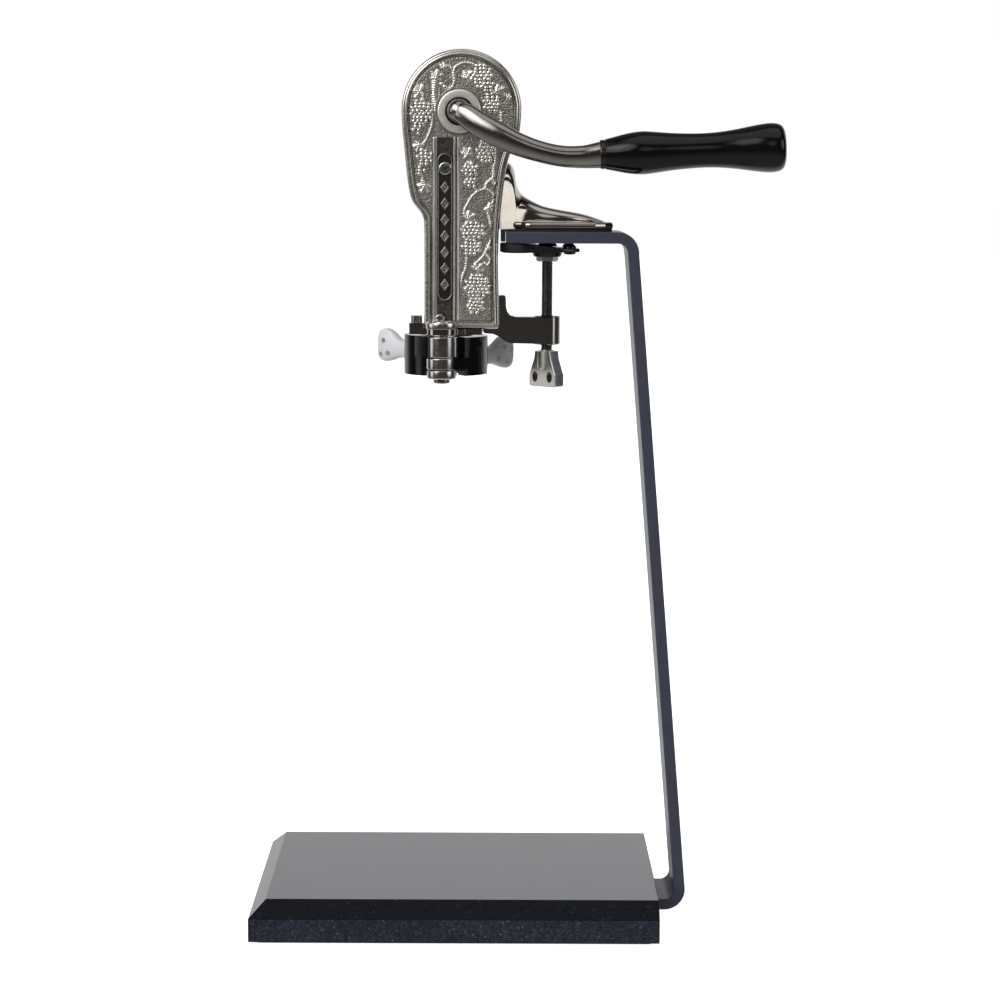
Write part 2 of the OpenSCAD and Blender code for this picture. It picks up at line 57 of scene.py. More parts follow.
def obj_from(name, verts, faces, lift=True, smooth=True, angle=35.0):
    me = bpy.data.meshes.new(name)
    f = up if lift else gr
    me.from_pydata([f(v) for v in verts], [], faces)
    me.validate()
    o = bpy.data.objects.new(name, me)
    scene.collection.objects.link(o)
    fix(o, smooth, angle)
    return o


def fix(o, smooth=True, angle=35.0):
    bm = bmesh.new()
    bm.from_mesh(o.data)
    bmesh.ops.remove_doubles(bm, verts=bm.verts, dist=1e-6)
    bmesh.ops.recalc_face_normals(bm, faces=bm.faces)
    bm.to_mesh(o.data)
    bm.free()
    for p in o.data.polygons:
        p.use_smooth = smooth
    if smooth and angle:
        try:
            o.data.set_sharp_from_angle(angle=math.radians(angle))
        except Exception:
            pass
    return o


def done(o, body, mat, nodes=()):
    if len(o.data.polygons) < 40000 and not o.name.startswith("cover_"):
        m = o.modifiers.new("wn", "WEIGHTED_NORMAL")
        m.keep_sharp = True
        m.weight = 50
        apply_mods(o)
    o.data.materials.clear()
    for m in mat if isinstance(mat, (list, tuple)) else [mat]:
        o.data.materials.append(m)
    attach(o, body)
    if nodes:
        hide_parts(*nodes)
    return o


def apply_mods(o):
    bpy.context.view_layer.update()
    dg = bpy.context.evaluated_depsgraph_get()
    me = bpy.data.meshes.new_from_object(o.evaluated_get(dg), depsgraph=dg)
    old = o.data
    o.modifiers.clear()
    o.data = me
    bpy.data.meshes.remove(old)
    return o


def bevel(o, width, seg=3, angle=30.0, profile=0.5):
    m = o.modifiers.new("edge", "BEVEL")
    m.width = width * MM
    m.segments = seg
    m.limit_method = "ANGLE"
    m.angle_limit = math.radians(angle)
    m.profile = profile
    m.use_clamp_overlap = True
    m.harden_normals = False
    apply_mods(o)
    for p in o.data.polygons:
        p.use_smooth = True
    o.data.set_sharp_from_angle(angle=math.radians(40))
    return o


def cut(o, cutters, op="DIFFERENCE"):
    for c in cutters:
        m = o.modifiers.new("b", "BOOLEAN")
        m.object = c
        m.operation = op
        m.solver = "EXACT"
    apply_mods(o)
    for c in cutters:
        me = c.data
        bpy.data.objects.remove(c)
        bpy.data.meshes.remove(me)
    for p in o.data.polygons:
        p.use_smooth = True
    o.data.set_sharp_from_angle(angle=math.radians(35))
    return o


def basis(axis):
    a = Vector(axis).normalized()
    h = Vector((0, 0, 1)) if abs(a.z) < 0.9 else Vector((1, 0, 0))
    u = (h - a * h.dot(a)).normalized()
    return u, a.cross(u), a


def lathe_mesh(profile, origin, axis, n=72, closed=True):
    """profile is [(radius, height)] along axis; a radius of 0 closes an end."""
    u, v, a = basis(axis)
    o = Vector(origin)
    verts, faces, rows = [], [], []
    for r, h in profile:
        if r < 1e-6:
            rows.append([len(verts)])
            verts.append(tuple(o + a * h))
        else:
            row = []
            for k in range(n):
                t = 2 * math.pi * k / n
                row.append(len(verts))
                verts.append(tuple(o + a * h + (u * math.cos(t) + v * math.sin(t)) * r))
            rows.append(row)
    pairs = list(zip(rows, rows[1:]))
    if closed and len(rows[0]) > 1 and len(rows[-1]) > 1:
        pairs.append((rows[-1], rows[0]))
    for p, q in pairs:
        for k in range(n):
            a0, a1 = p[k % len(p)], p[(k + 1) % len(p)]
            b0, b1 = q[k % len(q)], q[(k + 1) % len(q)]
            f = [a0, a1, b1, b0]
            g = []
            for i in f:
                if i not in g:
                    g.append(i)
            if len(g) > 2:
                faces.append(g)
    return verts, faces


def lathe(name, profile, origin, axis, n=72, lift=True, angle=35.0, closed=True):
    v, f = lathe_mesh(profile, origin, axis, n, closed)
    return obj_from(name, v, f, lift, True, angle)


def rounded(profile, r, seg=4):
    """Rounds the inner corners of an open profile."""
    out = [profile[0]]
    for i in range(1, len(profile) - 1):
        p0, p1, p2 = (Vector(profile[i - 1]), Vector(profile[i]), Vector(profile[i + 1]))
        a, b = p0 - p1, p2 - p1
        la, lb = a.length, b.length
        if la < 1e-6 or lb < 1e-6:
            out.append(tuple(p1))
            continue
        d = min(r, la * 0.45, lb * 0.45)
        s, e = p1 + a / la * d, p1 + b / lb * d
        for k in range(seg + 1):
            t = k / seg
            out.append(tuple(s * (1 - t) ** 2 + p1 * 2 * t * (1 - t) + e * t * t))
    out.append(profile[-1])
    return out


def prism(name, poly, y0, y1, lift=True, axis="Y"):
    """A polygon in x and z pushed along y (or in x and y along z)."""
    n = len(poly)
    if axis == "Y":
        verts = [(x, y0, z) for x, z in poly] + [(x, y1, z) for x, z in poly]
    else:
        verts = [(x, y, y0) for x, y in poly] + [(x, y, y1) for x, y in poly]
    faces = [list(range(n)), list(range(2 * n - 1, n - 1, -1))]
    faces += [[i, (i + 1) % n, n + (i + 1) % n, n + i] for i in range(n)]
    return obj_from(name, verts, faces, lift)


def cyl(name, r, p0, p1, n=48, lift=True):
    p0, p1 = Vector(p0), Vector(p1)
    h = (p1 - p0).length
    return lathe(name, [(0, 0), (r, 0), (r, h), (0, h)], p0, p1 - p0, n, lift)


def catmull(pts, per):
    pts = [np.array(p, float) for p in pts]
    out = []
    n = len(pts)
    for i in range(n - 1):
        a, b, c, d = pts[max(i - 1, 0)], pts[i], pts[i + 1], pts[min(i + 2, n - 1)]
        for k in range(per):
            t = k / per
            out.append(0.5 * (2 * b + (c - a) * t + (2 * a - 5 * b + 4 * c - d) * t * t + (3 * b - a - 3 * c + d) * t ** 3))
    out.append(pts[-1])
    return out


def sweep_mesh(path, section, close_ends=True, up_hint=(0, 0, 1)):
    """path: points; section(i) gives [(a, b)] along the frame's two normals."""
    P = [Vector(p) for p in path]
    n = len(P)
    T = [(P[min(i + 1, n - 1)] - P[max(i - 1, 0)]).normalized() for i in range(n)]
    u = Vector(up_hint)
    u = (u - T[0] * u.dot(T[0])).normalized()
    verts, faces = [], []
    m = None
    for i in range(n):
        u = (u - T[i] * u.dot(T[i])).normalized()
        w = T[i].cross(u)
        sec = section(i)
        m = len(sec)
        for a, b in sec:
            verts.append(tuple(P[i] + u * a + w * b))
    for i in range(n - 1):
        for k in range(m):
            faces.append([i * m + k, i * m + (k + 1) % m, (i + 1) * m + (k + 1) % m, (i + 1) * m + k])
    if close_ends:
        faces.append(list(range(m))[::-1])
        faces.append([(n - 1) * m + k for k in range(m)])
    return verts, faces


def oval(a, b, n=24, p=2.0):
    out = []
    for k in range(n):
        t = 2 * math.pi * k / n
        c, s = math.cos(t), math.sin(t)
        out.append((a * math.copysign(abs(c) ** (2 / p), c), b * math.copysign(abs(s) ** (2 / p), s)))
    return out


def offset_poly(poly, d):
    """Moves a clockwise or anticlockwise closed outline inwards by d."""
    n = len(poly)
    P = [Vector(p) for p in poly]
    area = sum(P[i].x * P[(i + 1) % n].y - P[(i + 1) % n].x * P[i].y for i in range(n))
    s = 1 if area > 0 else -1
    out = []
    for i in range(n):
        e0 = (P[i] - P[i - 1]).normalized()
        e1 = (P[(i + 1) % n] - P[i]).normalized()
        n0 = Vector((-e0.y, e0.x)) * s
        n1 = Vector((-e1.y, e1.x)) * s
        m = (n0 + n1).normalized()
        k = max(0.35, m.dot(n0))
        out.append(tuple(P[i] + m * (d / k)))
    return out


def fillet(poly, radii, seg=5):
    """Rounds each corner of a closed outline; radii is a number or a list."""
    n = len(poly)
    out = []
    for i in range(n):
        r = radii[i] if isinstance(radii, (list, tuple)) else radii
        p0, p1, p2 = Vector(poly[i - 1]), Vector(poly[i]), Vector(poly[(i + 1) % n])
        a, b = (p0 - p1), (p2 - p1)
        la, lb = a.length, b.length
        if r <= 0 or la < 1e-9 or lb < 1e-9:
            out.append(tuple(p1))
            continue
        a.normalize()
        b.normalize()
        ang = a.angle(b)
        if ang > math.radians(178):
            out.append(tuple(p1))
            continue
        d = min(r / math.tan(ang / 2), la * 0.49, lb * 0.49)
        s, e = p1 + a * d, p1 + b * d
        for k in range(seg + 1):
            t = k / seg
            q = s * (1 - t) ** 2 + p1 * 2 * t * (1 - t) + e * t * t
            out.append(tuple(q))
    return out


def loft_rings(name, rings, lift=True, caps=(False, False), loop=False, angle=35.0):
    """rings: lists of equally many 3-D points."""
    m = len(rings[0])
    verts = [p for r in rings for p in r]
    faces = []
    R = len(rings)
    for i in range(R if loop else R - 1):
        j = (i + 1) % R
        for k in range(m):
            faces.append([i * m + k, i * m + (k + 1) % m, j * m + (k + 1) % m, j * m + k])
    if caps[0]:
        faces.append(list(range(m)))
    if caps[1]:
        faces.append([(R - 1) * m + k for k in range(m)][::-1])
    return obj_from(name, verts, faces, lift, True, angle)


# ------------------------------------------------------------------ materials
def mat(name):
    m = bpy.data.materials.new(name)
    m.use_nodes = True
    nt = m.node_tree
    nt.nodes.clear()
    out = nt.nodes.new("ShaderNodeOutputMaterial")
    b = nt.nodes.new("ShaderNodeBsdfPrincipled")
    nt.links.new(b.outputs[0], out.inputs[0])
    return m, nt, b


def N(nt, kind, **kw):
    n = nt.nodes.new(kind)
    for k, v in kw.items():
        if k.startswith("i_"):
            n.inputs[k[2:].replace("_", " ")].default_value = v
        else:
            setattr(n, k, v)
    return n


def coords(nt, scale=1.0):
    tc = N(nt, "ShaderNodeTexCoord")
    mp = N(nt, "ShaderNodeMapping")
    mp.inputs["Scale"].default_value = (scale, scale, scale) if not isinstance(scale, tuple) else scale
    nt.links.new(tc.outputs["Object"], mp.inputs["Vector"])
    return mp.outputs["Vector"]


def noise(nt, vec, scale, detail=4.0, rough=0.55):
    n = N(nt, "ShaderNodeTexNoise")
    n.inputs["Scale"].default_value = scale
    n.inputs["Detail"].default_value = detail
    n.inputs["Roughness"].default_value = rough
    nt.links.new(vec, n.inputs["Vector"])
    return n


def ramp(nt, fac, stops):
    r = N(nt, "ShaderNodeValToRGB")
    el = r.color_ramp.elements
    while len(el) > 1:
        el.remove(el[-1])
    el[0].position, el[0].color = stops[0][0], (*stops[0][1], 1)
    for pos, col in stops[1:]:
        e = el.new(pos)
        e.color = (*col, 1)
    nt.links.new(fac, r.inputs["Fac"])
    return r


def g3(v):
    return (v, v, v)


def bump(nt, b, height, dist, strength=1.0):
    bp = N(nt, "ShaderNodeBump")
    bp.inputs["Strength"].default_value = strength
    bp.inputs["Distance"].default_value = dist
    nt.links.new(height, bp.inputs["Height"])
    nt.links.new(bp.outputs["Normal"], b.inputs["Normal"])
    return bp


def metal(name, col, rough, var=0.04, rvar=0.08, scale=60.0, micro=0.0, coat=0.0, dark=None):
    """A plated or polished metal with faint clouding and handling marks."""
    m, nt, b = mat(name)
    v = coords(nt)
    n1 = noise(nt, v, scale, 5.0)
    n2 = noise(nt, v, scale * 9, 3.0)
    lo = tuple(max(0, c * (1 - var * 2.2)) for c in (dark or col))
    hi = tuple(min(1, c * (1 + var)) for c in col)
    r = ramp(nt, n1.outputs["Fac"], [(0.3, lo), (0.62, hi)])
    nt.links.new(r.outputs["Color"], b.inputs["Base Color"])
    rr = ramp(nt, n2.outputs["Fac"], [(0.3, g3(max(0.02, rough - rvar * 0.5))), (0.75, g3(rough + rvar))])
    nt.links.new(rr.outputs["Color"], b.inputs["Roughness"])
    b.inputs["Metallic"].default_value = 1.0
    if coat:
        b.inputs["Coat Weight"].default_value = coat
        b.inputs["Coat Roughness"].default_value = 0.05
    if micro:
        n3 = noise(nt, v, 900.0, 2.0)
        bump(nt, b, n3.outputs["Fac"], micro * MM)
    return m


def plastic(name, col, rough, spec=0.5, var=0.1, rvar=0.08, scale=80.0, micro=0.0, coat=0.0, coat_rough=0.03):
    m, nt, b = mat(name)
    v = coords(nt)
    n1 = noise(nt, v, scale, 5.0)
    n2 = noise(nt, v, scale * 6, 3.0)
    r = ramp(nt, n1.outputs["Fac"], [(0.3, tuple(c * (1 - var) for c in col)), (0.7, tuple(min(1, c * (1 + var)) for c in col))])
    nt.links.new(r.outputs["Color"], b.inputs["Base Color"])
    rr = ramp(nt, n2.outputs["Fac"], [(0.3, g3(max(0.02, rough - rvar * 0.5))), (0.75, g3(rough + rvar))])
    nt.links.new(rr.outputs["Color"], b.inputs["Roughness"])
    b.inputs["Specular IOR Level"].default_value = spec
    if coat:
        b.inputs["Coat Weight"].default_value = coat
        b.inputs["Coat Roughness"].default_value = coat_rough
    if micro:
        n3 = noise(nt, v, 700.0, 2.0)
        bump(nt, b, n3.outputs["Fac"], micro * MM)
    return m


def granite(name, base, rough, fleck, ior=1.54):
    m, nt, b = mat(name)
    v = coords(nt)
    n0 = noise(nt, v, 26.0, 6.0)
    vo = N(nt, "ShaderNodeTexVoronoi")
    vo.inputs["Scale"].default_value = 780.0
    nt.links.new(v, vo.inputs["Vector"])
    vo2 = N(nt, "ShaderNodeTexVoronoi")
    vo2.inputs["Scale"].default_value = 1500.0
    nt.links.new(v, vo2.inputs["Vector"])
    cr = ramp(nt, vo.outputs["Color"], [(0.0, tuple(c * 0.55 for c in base)), (0.55, base), (0.86, tuple(c * 1.7 for c in base)), (0.97, fleck)])
    cr2 = ramp(nt, vo2.outputs["Color"], [(0.0, g3(0.75)), (0.8, g3(1.0)), (0.95, g3(1.9))])
    mx = N(nt, "ShaderNodeMix", data_type="RGBA", blend_type="MULTIPLY")
    mx.inputs["Factor"].default_value = 1.0
    nt.links.new(cr.outputs["Color"], mx.inputs["A"])
    nt.links.new(cr2.outputs["Color"], mx.inputs["B"])
    c3 = ramp(nt, n0.outputs["Fac"], [(0.3, g3(0.82)), (0.7, g3(1.15))])
    mx2 = N(nt, "ShaderNodeMix", data_type="RGBA", blend_type="MULTIPLY")
    mx2.inputs["Factor"].default_value = 1.0
    nt.links.new(mx.outputs["Result"], mx2.inputs["A"])
    nt.links.new(c3.outputs["Color"], mx2.inputs["B"])
    nt.links.new(mx2.outputs["Result"], b.inputs["Base Color"])
    rr = ramp(nt, vo.outputs["Color"], [(0.2, g3(rough)), (0.9, g3(rough + 0.06))])
    nt.links.new(rr.outputs["Color"], b.inputs["Roughness"])
    b.inputs["IOR"].default_value = ior
    return m


def antique(name, attr=True):
    """Cast pewter plate: dark patina in the hollows, rubbed bright on what stands proud."""
    m, nt, b = mat(name)
    v = coords(nt)
    n1 = noise(nt, v, 45.0, 6.0)
    n2 = noise(nt, v, 420.0, 3.0)
    if attr:
        at = N(nt, "ShaderNodeAttribute", attribute_name="height", attribute_type="GEOMETRY")
        ad = N(nt, "ShaderNodeMath", operation="MULTIPLY_ADD")
        nt.links.new(n2.outputs["Fac"], ad.inputs[0])
        ad.inputs[1].default_value = 0.22
        nt.links.new(at.outputs["Fac"], ad.inputs[2])
        fac = ad.outputs[0]
        stops = [(0.10, (0.045, 0.041, 0.036)), (0.30, (0.25, 0.232, 0.21)), (0.55, (0.55, 0.52, 0.475)), (0.85, (0.86, 0.825, 0.76)), (1.0, (0.93, 0.90, 0.84))]
    else:
        fac = n1.outputs["Fac"]
        stops = [(0.30, (0.30, 0.285, 0.26)), (0.7, (0.50, 0.475, 0.44))]
    r = ramp(nt, fac, stops)
    c3 = ramp(nt, n1.outputs["Fac"], [(0.3, g3(0.85)), (0.7, g3(1.08))])
    mx = N(nt, "ShaderNodeMix", data_type="RGBA", blend_type="MULTIPLY")
    mx.inputs["Factor"].default_value = 1.0
    nt.links.new(r.outputs["Color"], mx.inputs["A"])
    nt.links.new(c3.outputs["Color"], mx.inputs["B"])
    nt.links.new(mx.outputs["Result"], b.inputs["Base Color"])
    rr = ramp(nt, fac, [(0.1, g3(0.62)), (0.6, g3(0.34)), (1.0, g3(0.24))]) if attr else ramp(nt, n2.outputs["Fac"], [(0.3, g3(0.24)), (0.8, g3(0.36))])
    nt.links.new(rr.outputs["Color"], b.inputs["Roughness"])
    b.inputs["Metallic"].default_value = 1.0
    bump(nt, b, n2.outputs["Fac"], 0.05 * MM)
    return m


M_GRANITE = granite("granite", (0.026, 0.030, 0.046), 0.05, (0.10, 0.11, 0.13))
# darker, less reflective copy of the granite: painted shade for the chamfers, bevels and hole walls, kept from catching
# reflections
M_GRANITE_SHADED_CHAMFER = granite("granite_shaded_chamfer", (0.003, 0.0045, 0.009), 0.10, (0.03, 0.03, 0.04), ior=1.22)
M_BAR = plastic("bar_coat", (0.060, 0.065, 0.094), 0.36, spec=0.5, var=0.10, rvar=0.1, scale=120, micro=0.05)
M_PEWTER = antique("antique_relief", True)
M_PEWTER_PLAIN = antique("antique_plain", False)
M_RIM = metal("rim_bright", (0.70, 0.67, 0.62), 0.20, var=0.08, rvar=0.08)
M_NICKEL = metal("satin_nickel", (0.72, 0.70, 0.65), 0.26, var=0.05, rvar=0.08)
M_FOOT = metal("clamp_plate", (0.46, 0.43, 0.385), 0.09, var=0.05, rvar=0.04)
M_GUN = metal("gunmetal", (0.30, 0.28, 0.258), 0.16, var=0.05, rvar=0.05)
M_STEEL = metal("steel", (0.62, 0.61, 0.60), 0.20, var=0.05, rvar=0.08)
# dark steel of the screw thread and tip, also used as painted shade in the wing key's oval holes
M_DARKSTEEL_AND_HOLE_SHADE = metal("dark_steel", (0.17, 0.155, 0.145), 0.32, var=0.1, rvar=0.12, scale=150)
M_BRASS = metal("brass", (0.66, 0.47, 0.20), 0.25, var=0.06)
M_GLOSS = plastic("black_gloss", (0.005, 0.005, 0.0056), 0.10, spec=0.30, var=0.05, rvar=0.03)
# black of the name strip, also used as painted shade for the screw slots
M_STRIP_AND_SLOT_SHADE = plastic("strip_black_and_slot_shade", (0.018, 0.017, 0.016), 0.3, spec=0.5, var=0.2)
M_PLATE = plastic("black_paint", (0.014, 0.014, 0.015), 0.22, spec=0.5, var=0.1)
# black rubber of the pad and the neck stop; the pad's lip is painted shade for the gap by the case
M_RUBBER_AND_GAP_SHADE = plastic("black_rubber", (0.016, 0.016, 0.016), 0.65, spec=0.3, var=0.2, micro=0.05)
M_LINER = plastic("liner_rubber", (0.10, 0.10, 0.105), 0.6, spec=0.3, var=0.15, micro=0.05)
M_GREY = plastic("grey_handle", (0.84, 0.85, 0.87), 0.30, spec=0.5, var=0.04, rvar=0.05)
M_FELT = plastic("felt", (0.014, 0.014, 0.014), 0.95, spec=0.1, var=0.4, scale=600, micro=0.2)
CLUSTERS = [
    (-22.82, 523.35, 7.21, 8.52),
    (-25.44, 512.87, 3.28, 4.26),
    (-20.2, 493.87, 5.24, 5.57),
    (-22.82, 485.36, 2.95, 3.28),
    (16.48, 546.92, 7.21, 7.53),
    (20.41, 540.38, 4.58, 4.58),
    (23.03, 529.24, 5.57, 6.88),
    (19.42, 497.14, 5.90, 6.88),
    (9.27, 486.01, 5.57, 4.91),
    (9.6, 478.15, 3.93, 4.91),
    (11.24, 446.06, 8.19, 5.90),
    (10.58, 435.57, 6.22, 5.57),
    (14.51, 409.38, 8.19, 8.52),
    (13.2, 396.93, 5.57, 5.57),
    (-8.41, 540.38, 2.29, 2.29),
]
LEAVES = [
    (-23.48, 537.1, 6.22, 180),
    (-13.0, 545.62, 5.24, 80),
    (-24.13, 502.38, 4.91, 250),
    (-20.2, 476.19, 5.57, 240),
    (6.98, 545.62, 5.24, 60),
    (26.3, 537.1, 6.22, -30),
    (33.51, 533.17, 2.62, 0),
    (7.63, 496.49, 4.91, 120),
    (21.39, 461.77, 4.58, -40),
    (7.96, 454.57, 5.57, 30),
    (13.86, 421.16, 5.24, 45),
    (9.93, 489.94, 3.28, 200),
    (18.44, 503.69, 3.93, 40),
    (-7.76, 552.82, 2.95, 150),
    (21.06, 435.57, 2.29, 0),
]
VINES = [
    [(-5.79, 538.41), (-2.52, 540.05), (-1.54, 543.85), (-2.06, 547.58), (-1.01, 551.9), (1.67, 554.13), (4.88, 555.44), (9.27, 555.05), (13.2, 553.48)],
    [(-15.62, 528.59), (-15.36, 523.35), (-15.62, 516.79), (-16.93, 511.56), (-19.16, 506.31), (-21.51, 503.04)],
    [(29.25, 523.35), (28.92, 519.41), (29.31, 515.49)],
    [(25.19, 502.38), (25.65, 493.21), (24.47, 486.67), (24.14, 481.43), (20.41, 477.82), (18.77, 474.09), (14.51, 472.45), (10.78, 469.24), (8.09, 465.05), (5.67, 460.2), (5.34, 457.19)],
    [(24.14, 481.43), (24.07, 478.15), (25.38, 476.84), (26.3, 478.41)],
    [(18.77, 474.09), (21.72, 472.91), (24.34, 470.29), (25.32, 467.01), (23.03, 463.74)],
    [(20.93, 457.85), (22.04, 452.61), (23.62, 447.37), (23.62, 442.12), (20.93, 435.57), (17.72, 429.68), (13.2, 424.77), (11.89, 422.48)],
    [(19.1, 431.64), (21.39, 429.02), (22.37, 426.4), (20.8, 424.11), (18.96, 425.42)],
    [(7.04, 430.33), (6.52, 422.48), (4.36, 416.58), (3.11, 410.42), (2.85, 400.2)],
    [(-10.38, 553.48), (-7.76, 551.84), (-5.14, 553.48), (-3.17, 551.51)],
    [(-22.82, 484.05), (-21.84, 480.12), (-20.86, 477.5)],
    [(14.51, 472.25), (11.24, 474.88)],
]

# ------------------------------------------------------------------ stand
def base_slab():
    w, d, t, z0, bw, bh = 134.5, 94.0, 26.0, 1.5, 11.0, 10.4
    z1, zb = z0 + t, z0 + t - bh
    v = [(-w, -d, z0), (w, -d, z0), (w, d, z0), (-w, d, z0), (-w, -d, zb), (w, -d, zb), (w, d, zb), (-w, d, zb),
         (-w + bw, -d + bw, z1), (w, -d + bw, z1), (w, d - bw, z1), (-w + bw, d - bw, z1)]
    f = [[3, 2, 1, 0], [0, 1, 5, 4], [4, 5, 9, 8], [11, 10, 6, 7], [7, 6, 2, 3], [4, 7, 3, 0], [8, 11, 7, 4], [2, 6, 10, 9, 5, 1], [9, 10, 11, 8]]
    o = obj_from("slab", v, f, lift=False, smooth=False)
    bevel(o, 0.45, 3, 20)
    slot = prism("slot_cut", [(76, 0), (150, 0), (150, 11.1), (76, 11.1)], -25.3, 25.3, lift=False)
    holes = [cyl("h%d" % i, 4.5, (102, y, 5), (102, y, 22.8), 48, lift=False) for i, y in enumerate((-14, 14))]
    cut(o, [slot] + holes)
    done(o, "stand", [M_GRANITE, M_GRANITE_SHADED_CHAMFER], ["base_slab"])
    # faces not square to x, y or +z take the darker granite copy: painted shade on the chamfers and bevels
    for p in o.data.polygons:
        p.material_index = 0 if p.normal.z > 0.98 or abs(p.normal.y) > 0.98 or abs(p.normal.x) > 0.98 else 1
    return o


def base_felt():
    o = prism("felt", fillet([(-130.5, -90), (130.5, -90), (130.5, 90), (-130.5, 90)], 4), 0.02, 1.5, lift=False, axis="Z")
    cut(o, [cyl("fh%d" % i, 7, (102, y, -2), (102, y, 4), 48, lift=False) for i, y in enumerate((-14, 14))])
    bevel(o, 0.25, 2, 40)
    done(o, "stand", M_FELT, ["base_felt"])


def arc(x, z, r, a0, a1, n):
    return [(x + r * math.cos(math.radians(a0 + (a1 - a0) * i / n)), z + r * math.sin(math.radians(a0 + (a1 - a0) * i / n))) for i in range(n + 1)]


def stand_bar():
    t, bo, lean = 7.5, 14.0, 4.83
    bi = bo - t
    z0, zt, x1 = 3.4, 462.0, 156.0
    tx = x1 - (zt - bo - (z0 + bo)) * math.tan(math.radians(lean))
    pts = [(78, z0)] + arc(x1 - bo, z0 + bo, bo, -90, lean, 40) + arc(tx - bo, zt - bo, bo, lean, 90, 40) + [(32, zt), (32, zt - t)]
    pts += arc(tx - bo, zt - bo, bi, 90, lean, 40) + arc(x1 - bo, z0 + bo, bi, lean, -90, 40) + [(78, z0 + t)]
    o = prism("bar", pts, -25, 25, lift=False)
    bevel(o, 0.8, 4, 50)
    cs = []
    for i, y in enumerate((-14, 14)):
        cs.append(lathe("bh%d" % i, [(0, 0), (6.4, 0), (6.4, 1.0), (3.3, 4.1), (3.3, 14), (0, 14)], (102, y, 2.4), (0, 0, 1), 48, lift=False))
    cut(o, cs)
    done(o, "stand", M_BAR, ["stand_bar"])


base_slab()
base_felt()
stand_bar()


# ------------------------------------------------------------------ case
def case_outline():
    pts = arc(3.5, 525, 39.3, 181, 3, 110)
    right = catmull([(42.75, 526), (42.3, 517), (41.2, 509.5), (38.6, 502.2), (35.0, 494.8), (32.4, 484), (30.7, 472.3), (28.9, 455), (28.0, 436), (28.3, 410), (29, 384)], 8)[1:-1]
    pts += [tuple(p) for p in right]
    corner = fillet([(29, 400), (29, 382), (-20.8, 382), (-20.8, 400)], [0, 2.2, 2.2, 0], 5)[1:-1]
    pts += [c for c in corner if True]
    left = catmull([(-20.8, 386), (-20.8, 420), (-20.9, 448), (-22.2, 456.5), (-28.4, 465.0), (-31.0, 474), (-32.6, 486), (-34.2, 502.4), (-35.3, 513), (-35.75, 523)], 8)[1:-1]
    pts += [tuple(p) for p in left]
    # even spacing
    out, P = [], [Vector(p) for p in pts]
    for i in range(len(P)):
        a, b = P[i], P[(i + 1) % len(P)]
        if (b - a).length < 0.25 and out:
            continue
        n = max(1, int((b - a).length / 2.0))
        for k in range(n):
            out.append(tuple(a + (b - a) * k / n))
    return out


OUT = case_outline()


def rim(name, s, nodes):
    """Rounded edge, raised bead and groove of a cover; s is -1 for the near one."""
    prof = [(0, 17.42), (0, 19.6), (0.12, 20.3), (0.45, 21.0), (1.0, 21.5), (1.7, 21.75), (2.2, 21.7), (2.45, 21.75), (2.7, 22.0), (3.05, 22.15), (3.4, 22.05), (3.65, 21.7),
            (3.85, 21.1), (4.2, 20.55), (4.8, 20.45), (7.0, 20.45), (7.0, 17.5)]
    rings = []
    for d, y in prof:
        rings.append([(x, s * y, z) for x, z in offset_poly(OUT, d)])
    o = loft_rings(name, rings, loop=True, angle=50)
    done(o, "stand", [M_RIMEDGE, M_RIM, M_PEWTER_PLAIN], nodes)
    m = len(OUT)
    for i, p in enumerate(o.data.polygons):
        d = prof[min(i // m, len(prof) - 1)][0]
        p.material_index = 0 if d < 2.2 else (1 if d < 3.8 else 2)
    return o


def seg_dist(X, Z, pts):
    D = np.full(X.shape, 1e9)
    L = np.zeros(X.shape)
    acc = 0.0
    for (x0, z0), (x1, z1) in zip(pts, pts[1:]):
        dx, dz = x1 - x0, z1 - z0
        q = dx * dx + dz * dz
        if q < 1e-12:
            continue
        t = np.clip(((X - x0) * dx + (Z - z0) * dz) / q, 0, 1)
        d = np.hypot(X - x0 - t * dx, Z - z0 - t * dz)
        near = d < D
        D[near] = d[near]
        L[near] = (acc + t * math.sqrt(q))[near]
        acc += math.sqrt(q)
    return D, L


def inside_dist(X, Z, poly):
    P = np.array(poly)
    D, _ = seg_dist(X, Z, [tuple(p) for p in P] + [tuple(P[0])])
    ins = np.zeros(X.shape, bool)
    n = len(P)
    for i in range(n):
        x0, z0 = P[i]
        x1, z1 = P[(i + 1) % n]
        c = (z0 > Z) != (z1 > Z)
        with np.errstate(divide="ignore", invalid="ignore"):
            xi = (x1 - x0) * (Z - z0) / (z1 - z0 + 1e-30) + x0
        ins ^= c & (X < xi)
    return np.where(ins, D, -D)


def hash2(i, j, k):
    h = np.sin(i * 127.1 + j * 311.7 + k * 74.7) * 43758.5453
    return h - np.floor(h)


def dots(X, Z, cell, r, seed, keep=1.0):
    """Height 0..1 of round dots, one in each jittered cell."""
    H = np.zeros(X.shape)
    ci, cj = np.floor(X / cell), np.floor(Z / cell)
    for a in (-1, 0, 1):
        for b in (-1, 0, 1):
            i, j = ci + a, cj + b
            x = (i + 0.2 + 0.6 * hash2(i, j, seed)) * cell
            z = (j + 0.2 + 0.6 * hash2(i, j, seed + 1)) * cell
            rr = r * (0.75 + 0.5 * hash2(i, j, seed + 2))
            d2 = ((X - x) ** 2 + (Z - z) ** 2) / rr ** 2
            h = np.sqrt(np.clip(1 - d2, 0, 1))
            h[hash2(i, j, seed + 3) > keep] = 0
            H = np.maximum(H, h)
    return H


